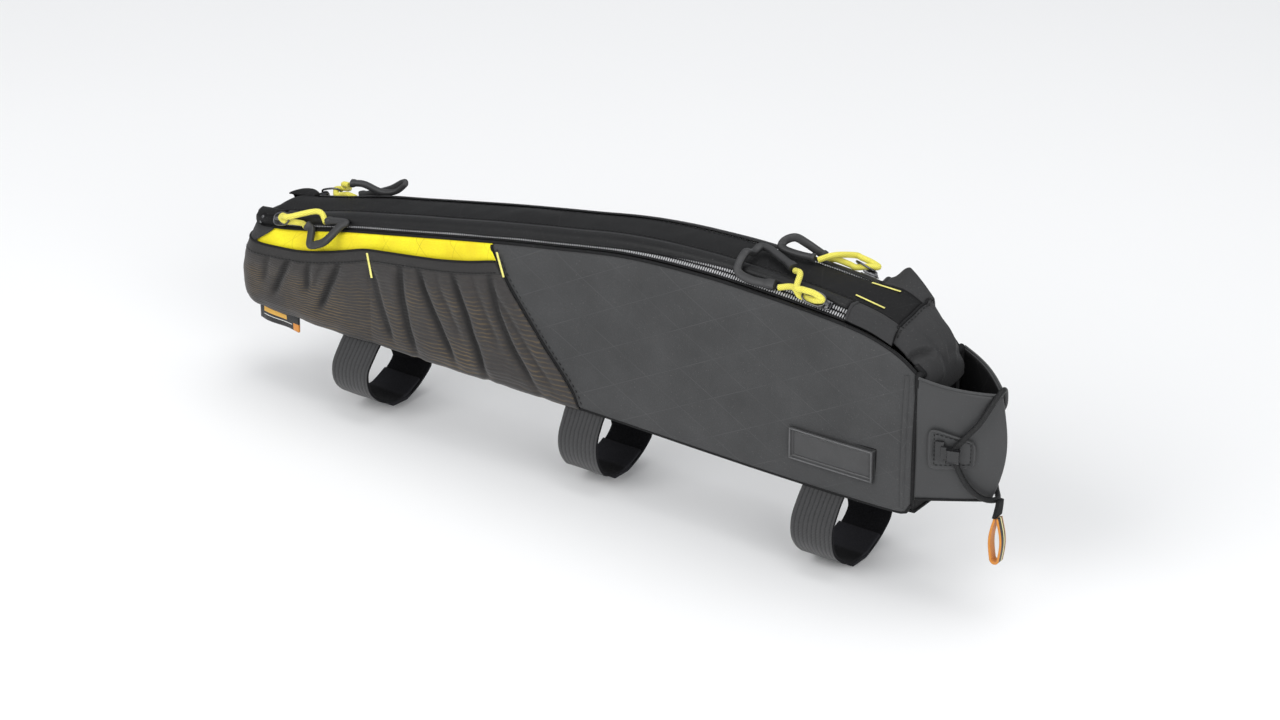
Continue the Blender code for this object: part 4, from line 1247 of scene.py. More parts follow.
class BagStage(PropertyGroup):
    """Floor, lights and camera."""

    azimuth: FloatProperty(
        name="Azimuth", description="Camera's angle round the bag",
        subtype="ANGLE", default=math.radians(35.348),
    )
    elevation: FloatProperty(
        name="Elevation", description="Camera's angle above the bag",
        subtype="ANGLE", default=math.radians(26.414),
    )
    distance: FloatProperty(name="Distance", description="Camera to bag", unit="LENGTH", default=2.0738)
    lens: FloatProperty(name="Lens", description="Focal length in millimetres", default=111.0)
    floor_shade: FloatProperty(
        name="Floor shade", description="How pale the floor is", default=0.90, min=0, max=1
    )
    light_watts: FloatProperty(
        name="Light", description="Strength of the main soft light", default=11.0, min=0
    )


# Pieces

def edge_swell(distance, reach=10 * MM):
    """0 at a seam, rising to 1 inside the panel."""
    t = clamp(distance / reach)
    return 1 - (1 - t) ** 2


def out_from_middle(at):
    return Vector((0, math.copysign(1, at.y), 0))


def straight_up(at):
    return Vector((0, 0, 1))


class TUBEBAG_OT_side_panels(Operator):
    """Builds the grey side panels, the rear end, the base and their bound seams; the black piping along the
    sides' top edges paints the seam's shadow line.
    """

    bl_idname = "tubebag.side_panels"
    bl_label = "Side Panels"

    def execute(self, context):
        sizes = context.scene.bag_details

        def relief(at, border):
            swell = sizes.side_swell * edge_swell(border)
            soft = rumple(at, 0.055) * 0.9 + rumple(Vector((at.x, 0, at.z * 0.35)), 0.024, 3.1) * 0.4
            return swell + sizes.rumple_depth * soft * edge_swell(border, 16 * MM)

        foot = GAP / SEAM_HEIGHT

        def above_toe(x, v):
            return mix(foot + toe(x) / seam_height(1), 1, gathered(v))

        def left(u, v):
            walk = walked(u, 0.1)
            return side_point(LEFT, walk, above_toe(x_at(walk), v))

        def left_relief(at, u, v):
            height = seam_height(clamp(along_at(at.x)))
            return relief(at, min(at.z, height - at.z, (x_at(1) - at.x)))

        shape = grid(150, 36, left, (BODY_LENGTH, SEAM_HEIGHT), flip=True, relief=left_relief, upright=True)
        add_piece("side_cloth_left", shape, finish("grey_cloth"), ["side_panel_left"], CLOTH)

        def right(u, v):
            walk = mix(pocket_seam(mix(foot, 1, gathered(v))) + GAP / BODY_LENGTH, 1, u)
            return side_point(RIGHT, walk, above_toe(x_at(walk), v))

        def right_relief(at, u, v):
            height = seam_height(clamp(along_at(at.x)))
            seam = u * (1 - pocket_seam(v)) * BODY_LENGTH
            return relief(at, min(at.z, height - at.z, x_at(1) - at.x, seam))

        shape = grid(110, 36, right, (BODY_LENGTH * 0.55, SEAM_HEIGHT), relief=right_relief, upright=True)
        add_piece("side_cloth_right", shape, finish("grey_cloth"), ["side_panel_right"], CLOTH)

        def rear(u, v):
            z = mix(GAP, seam_height(0) + TOP_RISE * 0.3, v)
            up = z / seam_height(0)
            reach = side_point(LEFT, 0, min(up, 0.99)).y - 0.3 * GAP
            bow = 1 - (2 * u - 1) ** 2
            return Vector((x_at(0) + lean(0, z) - 1.5 * MM * bow, mix(reach, -reach, u), z))

        shape = grid(20, 22, rear, (26 * MM, 48 * MM), relief=lambda at, u, v: 0.5 * MM * rumple(at, 0.02))
        add_piece("rear_cloth", shape, finish("grey_cloth"), ["rear_gusset"], CLOTH)

        def base(u, v):
            inset = 0.5 * CLOTH
            radius = REAR_CORNER - inset
            rear_edge = x_at(0) + lean(0, 0) + inset
            x = mix(rear_edge, x_at(1) - GAP, u**1.3)
            turned = max(0.0, 1 - (x - rear_edge) / radius)
            corner = radius * (1 - math.sqrt(1 - turned * turned))
            reach = half_width(max(along_at(x), CORNER_SHARE)) - FOOT_ROUNDING - inset - corner
            return Vector((x, mix(-reach, reach, v), 0.0))

        shape = grid(90, 8, base, (BODY_LENGTH, 44 * MM), flip=True)
        add_piece("base_cloth", shape, finish("black_cloth"), ["base_panel"], CLOTH)

        def front(u, v):
            z = mix(CLOTH + GAP, HOOD_FOOT - GAP, v)
            reach = side_offset(1, z / seam_height(1)) - 2 * CLOTH - GAP
            return Vector((x_at(1) - 1 * MM, mix(-reach, reach, u), z))

        shape = grid(10, 14, front, (42 * MM, 64 * MM))
        add_piece("front_cloth", shape, finish("black_cloth"), ["front_gusset"], CLOTH)

        radius = sizes.piping / 2
        for side, word in ((RIGHT, "right"), (LEFT, "left")):
            # Painted shadow: a black rod along each side's top seam, for the dark shadow line there.
            top = [side_point(side, walked(i / 130, 0.1), 0.996, radius * 0.5) for i in range(131)]
            add_piece(f"top_piping_{word}", rod(top, radius, 8), finish("black_cloth"))
            low = []
            for i in range(161):
                walk = walked(i / 160, 0.1)
                low.append(side_point(side, walk, 0.006 + toe(x_at(walk)) / seam_height(1), radius * 0.3))
            add_piece(f"base_piping_{word}", rod(low, radius, 8), finish("black_cloth"))
            upright = [side_point(side, 1, mix(0.07, 0.97, i / 30), -0.2 * MM) for i in range(31)]
            upright = [point + Vector((0.2 * MM, 0, 0)) for point in upright]
            add_piece(f"front_piping_{word}", rod(upright, radius, 8), finish("black_cloth"))
            rolled = []
            for i in range(31):
                rolled.append(side_point(side, 1 - 4.5 * MM / BODY_LENGTH, mix(0.05, 0.95, i / 30), 0.2 * MM))
            shape = rod(rolled, 1.7 * MM, 10, flat=0.5)
            add_piece(f"rolled_seam_{word}", shape, finish("grey_cloth"))
        return {"FINISHED"}


def pleat_depth(along, up):
    """How deep in its pleats the side pocket's net is at a place, in mm."""
    deep = 0.0
    for pleat in PLEATS:
        t = (up - pleat.foot_up) / (pleat.top_up - pleat.foot_up)
        if not -0.3 < t < 1.3:
            continue
        line = mix(pleat.foot, pleat.top, t) + 4 * pleat.bow * t * (1 - t)
        aside = (along - line) * BODY_LENGTH / MM
        width = 2.2 if aside < 0 else 3.4
        deep += pleat.depth * bump_at(aside, 0, width) * ease((t + 0.12) / 0.3) * ease((1.18 - t) / 0.3)
    return deep


def net_relief(along, up):
    """How far the side pocket's net stands off the cloth behind it."""
    mouth = mouth_share(along)
    end = pocket_seam(up)
    if along < POCKET_DIVIDER:
        share = along / POCKET_DIVIDER
    else:
        share = (along - POCKET_DIVIDER) / (end - POCKET_DIVIDER)
    below = ease((mouth - 0.07 - up) / 0.16)
    held = mix(1.0, math.sin(math.pi * clamp(share)) ** 0.5, 0.75)
    foot = ease(up / 0.12)
    slack = 3.4 * MM * held * mix(0.3, 1.0, foot)
    swing = 0.8 * MM * rumple(Vector((along * BODY_LENGTH, 0, up * 0.08)), 0.013, 3.3)
    full = slack + swing * held - pleat_depth(along, up) * MM * 1.05
    return mix(1.1 * MM, max(full, 0.25 * MM), below)


def mouth_share(along):
    return follow(POCKET_MOUTH_LINE, along, "mouth")


def net_point(u, up):
    walk = mix(0.002, 1, walked(u, 0.1)) * pocket_seam(up)
    return side_point(RIGHT, walk, up, GAP + 0.6 * MM + net_relief(walk, up))


def below_mouth(u, drop):
    along = walked(u, 0.1) * pocket_seam(0.8)
    return mouth_share(along) - drop / seam_height(along)


class TUBEBAG_OT_side_pocket(Operator):
    """Builds the gathered mesh side pocket with its hem, the yellow cloth behind it and its bar tacks."""

    bl_idname = "tubebag.side_pocket"
    bl_label = "Side Pocket"

    def execute(self, context):
        def yellow_start(up):
            return mix(0.017, 0.036, clamp((up - 0.80) / 0.19) ** 1.5)

        def yellow(u, v):
            along = walked(u, 0.1) * pocket_seam(0.8)
            up = mix(mouth_share(along) - 12 * MM / seam_height(along), 0.99, v)
            return side_point(RIGHT, mix(yellow_start(up), pocket_seam(up), u), up, 0.5 * MM)

        def soft(at, u, v):
            across = rumple(Vector((at.x - at.z, 0, at.z)), 0.021, 7.0)
            fade = math.sin(math.pi * clamp(v)) ** 0.5 * ease(u / 0.1)
            return (0.9 * across + 0.6 * rumple(at, 0.010, 1.0)) * MM * fade

        shape = grid(200, 20, yellow, (185 * MM, 26 * MM), relief=soft)
        add_piece("pocket_lining", shape, finish("yellow_cloth"), ["pocket_backing"], CLOTH)

        def corner(u, v):
            up = mix(GAP / SEAM_HEIGHT, 0.985, v)
            shown = ease((up - 0.72) / 0.1)
            walk = mix(0, mix(0.075, yellow_start(up) + 0.004, shown), u)
            return side_point(RIGHT, walk, up, mix(-0.6, 1.9, shown) * MM)

        shape = grid(24, 44, corner, (33 * MM, 48 * MM))
        add_piece("pocket_corner", shape, finish("hood_cloth"), ["pocket_backing"], CLOTH * 0.6)

        def behind(u, v):
            along = walked(u, 0.1) * pocket_seam(0.8)
            up = mix(GAP / SEAM_HEIGHT, mouth_share(along) - 11.5 * MM / seam_height(along), v)
            return side_point(RIGHT, walked(u, 0.1) * pocket_seam(up), up, -0.2 * MM)

        shape = grid(60, 14, behind, (200 * MM, 60 * MM))
        add_piece(
            "pocket_back_cloth", shape, finish("black_cloth"), ["pocket_backing"], CLOTH * 0.6
        )

        def net(u, v):
            foot = FOOT_ROUNDING * 0.3 / seam_height(walked(u, 0.1) * pocket_seam(0))
            return net_point(u, mix(foot, below_mouth(u, HEM_WIDTH - 0.3 * MM), v))

        shape = grid(300, 50, net, (215 * MM, 60 * MM))
        # How deep each point lies in a pleat; the mesh material paints shade in the folds from it.
        depth = shape.verts.layers.float.new("fold")
        for vert in shape.verts:
            along = clamp(along_at(vert.co.x))
            vert[depth] = clamp(pleat_depth(along, vert.co.z / seam_height(along)) / 3.0)
        net_piece = add_piece(
            "pocket_net", shape, finish("mesh_cloth"), ["pocket_mesh"], 0.8 * MM, sharp=80,
        )

        def hem(u, v):
            roll = 0.35 * MM * math.sin(math.pi * v)
            at = net_point(u, below_mouth(u, HEM_WIDTH * (1 - v)))
            return at + Vector((0, -roll - 0.15 * MM, 0))

        hem_piece = add_piece(
            "pocket_band", grid(200, 8, hem, (190 * MM, HEM_WIDTH)), finish("hem_cloth"),
            ["pocket_hem"], 1.3 * MM,
        )
        edge = [net_point(i / 160, below_mouth(i / 160, 0.2 * MM)) for i in range(161)]
        edge = [at + Vector((0, -0.1 * MM, 0)) for at in edge]
        add_piece("pocket_edge", rod(edge, 0.7 * MM, 8), finish("black_cloth"))
        tape = [net_point(u / 60, below_mouth(u / 60, HEM_WIDTH - 0.8 * MM)) for u in range(1, 60)]
        tape = smooth_route([at + Vector((0, -0.55 * MM, 0)) for at in tape], 3)
        stitches("hem_stitches", tape, finish("black_cord"), out_from_middle, 2.6 * MM)

        seam = []
        for i in range(41):
            up = mix(0.03, 0.97, i / 40)
            seam.append(side_point(RIGHT, pocket_seam(up) + 3.2 * MM / BODY_LENGTH, up, 0.45 * MM))
        stitches("seam_stitches", seam, finish("black_cord"), out_from_middle, 3.4 * MM)
        binding = []
        for i in range(61):
            up = mix(0.02, 0.985, i / 60)
            binding.append(side_point(RIGHT, pocket_seam(up), up, 0.3 * MM))
        add_piece("seam_binding", rod(binding, 0.9 * MM, 8, flat=0.7), finish("black_cloth"))

        for number, tack in enumerate(POCKET_TACKS):
            ends = []
            for x, z in ((tack.top_x, tack.top_z), (tack.foot_x, tack.foot_z)):
                along = along_at(x)
                up = z / seam_height(along)
                lift = GAP + 0.6 * MM + net_relief(along, up) + 0.9 * MM
                ends.append(side_point(RIGHT, along, up, lift))
            thread = finish("tack_thread")
            bar_tack(f"pocket_tack_{number}", *ends, thread, "yellow_cord", out_from_middle, 1.9)
        return {"FINISHED"}


class TUBEBAG_OT_top_and_zips(Operator):
    """Builds the top panel, and each zip's tape, teeth and rolled edge."""

    bl_idname = "tubebag.top_and_zips"
    bl_label = "Top and Zips"

    def execute(self, context):
        sizes = context.scene.bag_details

        def panel(u, v):
            across = mix(-1, 1, v) * (1 - GAP / TOP_PANEL_WIDTH)
            along = mix(0.0, HOOD_SEAM, u)
            at = top_point(along, across)
            tucked = 1 - ease(along / TOP_START)
            down = (TOP_RISE * 0.8 + TOP_CROWN * (1 - across * across)) * tucked * tucked
            return at + Vector((-0.8 * MM * tucked, 0, top_lift(at.x, across) - down))

        def sag(at, u, v):
            inside = math.sin(math.pi * v)
            return (0.9 * rumple(at, 0.035, 2.0) + 0.6 * rumple(at, 0.014, 5.0) - 0.4) * MM * inside

        shape = grid(180, 16, panel, (BODY_LENGTH, TOP_PANEL_WIDTH), relief=sag)
        add_piece("top_cloth", shape, finish("black_cloth"), ["top_panel"], CLOTH)
        for side, word in ((RIGHT, "right"), (LEFT, "left")):
            flip = side == LEFT

            def tape(u, v, side=side):
                return lane_point(side, mix(LANE_START, HOOD_SEAM, u), mix(0.0, 0.97, v), -0.5 * MM)

            shape = grid(110, 4, tape, (BODY_LENGTH, 11 * MM), flip=flip)
            add_piece(
                f"zip_tape_cloth_{word}", shape, finish("black_cloth"),
                [f"zip_tape_{word}"], 0.8 * MM,
            )

            places = []
            count = int(BODY_LENGTH * (FLAP_REAR - LANE_START) / sizes.tooth_pitch)
            for i in range(count):
                along = mix(LANE_START + 0.01, FLAP_REAR + 0.01, i / count)
                for row in (-1, 1):
                    share = along + row * 0.25 * sizes.tooth_pitch / BODY_LENGTH
                    across = COIL_ACROSS - 0.03 + row * 0.12
                    at = lane_point(side, share, across, 0.55 * MM)
                    ahead = lane_point(side, share + 0.002, across, 0.55 * MM) - at
                    up = lane_point(side, share, across, 2 * MM) - at
                    places.append((at, ahead, up))
            shape = beads(places, (0.95 * MM, 2.9 * MM, 1.3 * MM))
            add_piece(
                f"zip_teeth_{word}", shape, finish("zip_teeth"),
                [f"zip_coil_{word}"], sharp=80,
            )

            def flap(u, v, side=side):
                along = mix(LANE_START + 0.02, FLAP_REAR, u)
                rolled = math.sin(math.pi * mix(0.05, 0.93, v)) ** 0.5
                low = mix(0.10, 0.50, ease((along - 0.52) / 0.30))
                return lane_point(side, along, mix(low, 1.0, v), (FLAP_HEIGHT + 0.2 * MM) * rolled)

            def wave(at, u, v):
                return 0.25 * MM * rumple(at, 0.03, 9.0)

            shape = grid(130, 8, flap, (BODY_LENGTH * 0.87, 6 * MM), flip=flip, relief=wave)
            add_piece(
                f"zip_roll_{word}", shape, finish("satin_cloth"),
                [f"zip_flap_{word}"], 0.5 * MM,
            )

            lip = []
            for i in range(121):
                lip.append(lane_point(side, mix(LANE_START + 0.01, FLAP_REAR, i / 120), 0.035, 0.9 * MM))
            add_piece(f"zip_lip_{word}", rod(lip, 0.8 * MM, 8), finish("black_cloth"))

            seam = [top_point(mix(0.05, 0.95, i / 100), side * 0.86, 0.15 * MM) for i in range(101)]
            stitches(
                f"top_stitches_{word}", seam, finish("black_cord"),
                straight_up, 3.0 * MM, (2.0, 0.45, 0.4),
            )
        for side, word in ((RIGHT, "right"), (LEFT, "left")):
            ends = []
            for x in TOP_TACK_ENDS:
                across = side * TOP_TACK_OFFSET / (TOP_PANEL_WIDTH / 2)
                lifted = Vector((0, 0, top_lift(x, across)))
                ends.append(top_point(along_at(x), across, 0.7 * MM) + lifted)
            bar_tack(f"top_tack_{word}", *ends, finish("tack_thread"), "yellow_cord", straight_up, 1.5)
        return {"FINISHED"}


class TUBEBAG_OT_zip_ends(Operator):
    """Builds the flaps over the zips' front ends and the folded tabs at their rear ends."""

    bl_idname = "tubebag.zip_ends"
    bl_label = "Zip Ends"

    def execute(self, context):
        for side, word in ((RIGHT, "right"), (LEFT, "left")):
            flip = side == LEFT

            def garage(u, v, side=side):
                edge = 1.1 * MM * bump_at(u, 0.05, 0.06)
                across = mix(0.0, 1.03, v)
                raised = garage_lift(across) + (0.8 * MM * math.sin(math.pi * u) + edge) * (1 - across)
                at = lane_point(side, mix(FLAP_REAR + 0.004, HOOD_SEAM + 0.003, u), across, raised)
                drawn = top_lift(at.x, 1) * min(across, 1) if side == LEFT else 0
                return at + Vector((0, 0, fold(side, at.x, across) + drawn))

            def soft(at, u, v):
                height = 0.4 * MM * rumple(at, 0.014, 4.0)
                return height * math.sin(math.pi * clamp(v)) * math.sin(math.pi * u)

            shape = grid(30, 22, garage, (27 * MM, 12 * MM), flip=flip, relief=soft)
            add_piece(
                f"zip_garage_{word}", shape, finish("hood_cloth"),
                [f"zip_end_flap_{word}"], CLOTH,
            )
            rolled = [garage(0.0, mix(0.02, 0.98, i / 20), side) for i in range(21)]
            add_piece(f"garage_edge_{word}", rod(rolled, 1.0 * MM, 8), finish("hood_cloth"))

            def tail(u, v, side=side):
                crease = 1 - 0.22 * bump_at(v, 0.62 - 0.2 * u, 0.09)
                swell = 6.2 * MM * (math.sin(math.pi * u) * math.sin(math.pi * v)) ** 0.42 * crease
                return lane_point(side, mix(0.003, 0.044, u), mix(-0.12, 1.03, v), swell)

            shape = grid(28, 28, tail, (15 * MM, 11 * MM), flip=flip)
            add_piece(
                f"zip_tail_{word}", shape, finish("black_cloth"),
                [f"zip_rear_tab_{word}"], 0.9 * MM,
            )
            for number, (u, v) in enumerate(RIVETS):
                at = tail(u, v, side)
                out = (at - lane_point(side, mix(0.010, 0.044, u), 0.45, -3 * MM)).normalized()
                turn = out.to_track_quat("Z", "Y").to_matrix().to_4x4()
                seat = Matrix.Translation(at + out * 0.2 * MM) @ turn @ Matrix.Diagonal((1, 1, 0.55, 1))
                shape = bmesh.new()
                bmesh.ops.create_uvsphere(
                    shape, u_segments=16, v_segments=8, radius=0.95 * MM, matrix=seat
                )
                add_piece(f"rivet_{word}_{number}", shape, finish("dark_metal"))
        return {"FINISHED"}


class TUBEBAG_OT_hood(Operator):
    """Builds the loose hood that drops from the top into the front pocket."""

    bl_idname = "tubebag.hood"
    bl_label = "Hood"

    def execute(self, context):
        # Each crease runs between two places (down, across) with a height in mm and a reach in shares
        lines = (
            ((0.30, 0.02), (0.46, 0.20), -3.2, 0.07),
            ((0.46, 0.20), (0.75, 0.26), 1.8, 0.10),
            ((0.05, 0.55), (0.55, 0.40), 1.2, 0.14),
            ((0.12, 0.80), (0.60, 0.62), 1.8, 0.14),
            ((0.20, 0.30), (0.62, 0.34), -1.0, 0.09),
            ((0.58, 0.50), (0.66, 0.90), -1.2, 0.10),
        )

        def creases(at, u, v):
            height = 0.5 * rumple(at, 0.022, 1.7) + 0.3 * rumple(at, 0.009, 6.0)
            here = Vector((u, v))
            for start, end, tall, reach in lines:
                start, end = Vector(start), Vector(end)
                run = end - start
                share = clamp((here - start).dot(run) / run.length_squared)
                away = (here - start - run * share).length
                height += tall * max(0.0, 1 - away / reach)
            return height * MM * math.sin(math.pi * clamp(u)) ** 0.6

        shape = grid(64, 64, hood_point, (48 * MM, 48 * MM), relief=creases)
        # The hood's cloth carries painted shade: its grey is darker than the sides'.
        cloth = add_piece(
            "hood_cloth", shape, finish("hood_cloth"), ["front_hood"], CLOTH * 0.8
        )
        seam = [hood_point(0.035, mix(0.04, 0.96, i / 60)) + Vector((0, 0, 0.5 * MM)) for i in range(61)]
        stitches(
            "hood_stitches", seam, finish("black_cord"),
            lambda at: Vector((0.3, 0, 1)), 2.8 * MM,
        )
        binding = [hood_point(0.0, i / 60) + Vector((-0.4 * MM, 0, 0.1 * MM)) for i in range(61)]
        add_piece("hood_binding", rod(binding, 0.8 * MM, 8), finish("black_cloth"))
        for side, word in ((RIGHT, "right"), (LEFT, "left")):
            tuck = [band_point(side * 0.999, 0.86, -2 * MM), band_point(side * 0.999, 1.0, -2 * MM)]
            tuck.append(hood_point(0.62, 0.02 if side == RIGHT else 0.98) + Vector((-1 * MM, 0, 0)))
            tuck.append(hood_point(0.45, 0.03 if side == RIGHT else 0.97) + Vector((-2 * MM, 0, -1 * MM)))
            shape = rod(smooth_route(tuck, 8), 1.9 * MM, 10)
            add_piece(f"hood_tuck_{word}", shape, finish("black_cloth"))
        return {"FINISHED"}


class TUBEBAG_OT_front_pocket(Operator):
    """Builds the front pocket's wall, its rim and floor, and the sewn patches for the cord hooks."""

    bl_idname = "tubebag.front_pocket"
    bl_label = "Front Pocket"

    def execute(self, context):
        def soft(at, u, v):
            return 0.5 * MM * rumple(at, 0.03, 8.0) * math.sin(math.pi * clamp(u)) ** 0.5

        shape = grid(110, 26, lambda u, v: band_point(2 * u - 1, v), (100 * MM, 66 * MM), relief=soft)
        add_piece(
            "nose_wall", shape, finish("coated_cloth"), ["front_pocket"], POCKET_WALL,
            lining=finish("black_cloth"),
        )
        rim = [band_point(mix(-0.995, 0.995, i / 120), 1) + Vector((0, 0, 0.2 * MM)) for i in range(121)]
        add_piece("nose_rim", rod(rim, 0.75 * MM, 8), finish("coated_cloth"))
        low = [band_point(mix(-0.995, 0.995, i / 120), 0.01, 0.1 * MM) for i in range(121)]
        add_piece("nose_foot_piping", rod(low, 0.8 * MM, 8), finish("black_cloth"))

        def floor(u, v):
            edge = band_point(-mix(0.999, 0.04, u), 0.04)
            reach = max(abs(edge.y) - POCKET_WALL * 1.1, 0.4 * MM)
            inset = POCKET_WALL * mix(0.3, 1.2, u)
            return Vector((edge.x - inset, mix(-reach, reach, v), POCKET_FOOT + CLOTH))

        shape = grid(40, 8, floor, (32 * MM, 40 * MM))
        add_piece("nose_floor", shape, finish("black_cloth"), ["front_pocket_floor"], CLOTH)

        for side, word in ((RIGHT, "right"), (LEFT, "left")):

            def patch_place(u, v, lift, side=side):
                pinch = 0.07 * u * (2 * v - 1)
                turn = mix(0.91, 0.50, u)
                return band_point(side * turn, mix(0.275, 0.65, v) - pinch, GAP + lift)

            def rounded(u, v):
                """Pulls a square's corners in, so that the patch has round ones."""
                a, b = 2 * u - 1, 2 * v - 1
                pull = 1 - 0.13 * (a * b) ** 4
                return 0.5 + a * pull / 2, 0.5 + b * pull / 2

            def patch(u, v, side=side):
                edge = min(u, 1 - u, v, 1 - v)
                ridge = 0.7 * MM * bump_at(edge, 0.045, 0.035) - 0.2 * MM * bump_at(edge, 0.12, 0.022)
                return patch_place(*rounded(u, v), PATCH_THICKNESS + ridge, side)

            shape = grid(44, 40, patch, (20 * MM, 22 * MM), flip=side == LEFT)
            add_piece(
                f"cord_patch_sewn_{word}", shape, finish("coated_cloth"),
                [f"cord_patch_{word}"], PATCH_THICKNESS,
            )
            corners = ((0.12, 0.12), (0.88, 0.12), (0.88, 0.88), (0.12, 0.88), (0.12, 0.12))
            line = []
            for (u0, v0), (u1, v1) in zip(corners, corners[1:]):
                for i in range(12):
                    spot = rounded(mix(u0, u1, i / 12), mix(v0, v1, i / 12))
                    line.append(patch_place(*spot, PATCH_THICKNESS + 0.05 * MM))
            line.append(line[0])
            stitches(
                f"patch_stitches_{word}", line, finish("black_cord"), out_from_middle,
                2.3 * MM, (1.7, 0.5, 0.45),
            )
        return {"FINISHED"}


def bungee_route():
    """The elastic cord: up each side from the nose's foot, over the hooks and round the rim."""
    lift = GAP * 2 + PATCH_THICKNESS + BUNGEE / 2
    rise = [(0.70, 0.46), (0.62, 0.60), (0.46, 0.76), (0.27, 0.93)]
    fall = [(0.34, 0.08), (0.58, 0.22)]
    nose_top = band_point(0.001, 1) + Vector((0.5 * MM, 0, BUNGEE / 2 + 1.4 * MM))
    nose_low = band_point(0.001, 0.03) + Vector((BUNGEE / 2 + 1.2 * MM, 0, 0))
    nose_top.y = nose_low.y = 0
    right = [band_point(-turn, up, lift) for turn, up in fall + rise[:-1]]
    right.append(band_point(-rise[-1][0], rise[-1][1], GAP + BUNGEE / 2))
    left = [Vector((p.x, -p.y, p.z)) for p in reversed(right)]
    return [nose_low] + right + [nose_top] + left


class TUBEBAG_OT_elastic_cord(Operator):
    """Builds the front pocket's elastic cord, its hooks, and the tab and ribbon loop at the nose."""

    bl_idname = "tubebag.elastic_cord"
    bl_label = "Elastic Cord"

    def execute(self, context):
        route = smooth_route(bungee_route(), 12, closed=True)
        shape = rod(route, BUNGEE / 2, 12, closed=True)
        add_piece("elastic_cord", shape, finish("black_cord"), ["bungee_cord"], sharp=80)
        for side, word in ((RIGHT, "right"), (LEFT, "left")):
            at = band_point(side * HOOK_TURN, HOOK_UP, GAP * 2 + PATCH_THICKNESS)
            ahead = band_point(side * HOOK_AHEAD, HOOK_UP, GAP * 2 + PATCH_THICKNESS)
            forward = (ahead - at).normalized()
            outward = (band_point(side * HOOK_TURN, HOOK_UP, 3 * MM) - at).normalized()
            up = Vector((0, 0, 1))
            shape = bmesh.new()
            for block in HOOK_BLOCKS:
                for vert in bmesh.ops.create_cube(shape, size=1)["verts"]:
                    x, y, z = vert.co
                    along = at - forward * (block.back - x * block.length) * MM
                    across = up * y * block.width * MM
                    vert.co = along + across + outward * (block.rise + z * block.height) * MM
            soften_edges(shape, 0.45 * MM)
            add_piece(f"hook_{word}", shape, finish("black_plastic"), [f"cord_hook_{word}"])

        nose = bungee_route()[0]
        top = nose.z + 1 * MM
        x = nose.x + BUNGEE / 2 + GAP
        half = 3.5 * MM
        thickness = 1.1 * MM
        tab_height = 8 * MM
        aside = -4 * MM

        def tab(u, v):
            slide = aside * mix(0.4, 1, (1 - v) ** 1.5)
            wide = half * mix(1.0, 0.7, v)
            return Vector((x + thickness * 1.6, mix(-wide, wide, u) + slide, top - mix(tab_height, 0, v)))

        shape = grid(10, 14, tab, (7 * MM, tab_height))
        add_piece("nose_tab", shape, finish("black_cloth"), ["pull_tab"], thickness * 1.6)

        def ribbon(u, v):
            strand = 1 - abs(2 * v - 1)
            down = min(strand / 0.8, 1)
            belly = mix(1.2 * MM, 3.8 * MM, math.sin(math.pi * 0.8 * down))
            slim = 2.4 * MM
            round_end = math.pi / 2 * max(0, strand - 0.8) / 0.2
            reach = math.copysign(belly * math.cos(round_end), 2 * v - 1)
            z = top - tab_height - GAP - (26 * MM - belly) * down - belly * math.sin(round_end)
            return Vector((x + 1.5 * MM - reach, mix(-slim, slim, u) + aside, z))

        shape = grid(8, 90, ribbon, (7 * MM, 56 * MM), flip=True)
        add_piece(
            "nose_ribbon", shape, finish("striped_ribbon"), ["pull_ribbon"], thickness,
            lining=finish("orange_ribbon"),
        )
        return {"FINISHED"}


def drawn_back(at, u, drop):
    """A strap's point after its far half is drawn to the rear, and its foot up toward the far side."""
    far = clamp(at.y / (27 * MM))
    deep = clamp(-at.z / drop)
    slack = math.sin(math.pi * deep**0.42) * far
    back = 8 * MM * slack * mix(1.1, 0.8, u)
    return at + Vector((-back, -13 * MM * slack * (1 - u), 9 * MM * far * deep * deep))


class TUBEBAG_OT_straps(Operator):
    """Builds the three closed hook-and-loop straps under the base."""

    bl_idname = "tubebag.straps"
    bl_label = "Straps"

    def execute(self, context):
        for strap in STRAPS:
            x = strap.place * STRAP_PITCH
            root = half_width(along_at(x)) - FOOT_ROUNDING * 0.5
            for side, word, reach, inner in (
                (RIGHT, "right", strap.right_reach, True),
                (LEFT, "left", strap.left_reach, False),
            ):

                def place(u, v, side=side, reach=reach, inner=inner, x=x, strap=strap, root=root):
                    out = follow(LOOP_LINE, v, "out")
                    start = LOOP_LINE[0].out
                    y = mix(root, reach, (out - start) / (1 - start)) if out > start else root * out / start
                    under = ease((v - 0.4) / 0.22)
                    step = (STRAP_THICKNESS + GAP) * (0 if inner else 1) * under
                    z = -GAP - follow(LOOP_LINE, v, "down") * strap.drop - step
                    across = (u - 0.5) * STRAP_WIDTH * (1 - 0.012 * math.sin(9 * v + strap.place))
                    return drawn_back(Vector((x + across, side * y, z)), u, strap.drop)

                def soft(at, u, v):
                    return 0.3 * MM * rumple(at, 0.012, 2.5)

                shape = grid(14, 70, place, (STRAP_WIDTH, 78 * MM), flip=side == RIGHT, relief=soft)
                made = add_piece(
                    f"webbing_{strap.word}_{word}", shape, finish("strap_webbing"),
                    [f"strap_{strap.word}_{word}"], STRAP_THICKNESS, lining=finish("strap_inside"),
                    lined_rim=True, sharp=60,
                )
                rounding = made.modifiers.new("edge", "BEVEL")
                rounding.width = 0.4 * MM
                rounding.segments = 2
                rounding.limit_method = "ANGLE"
        return {"FINISHED"}


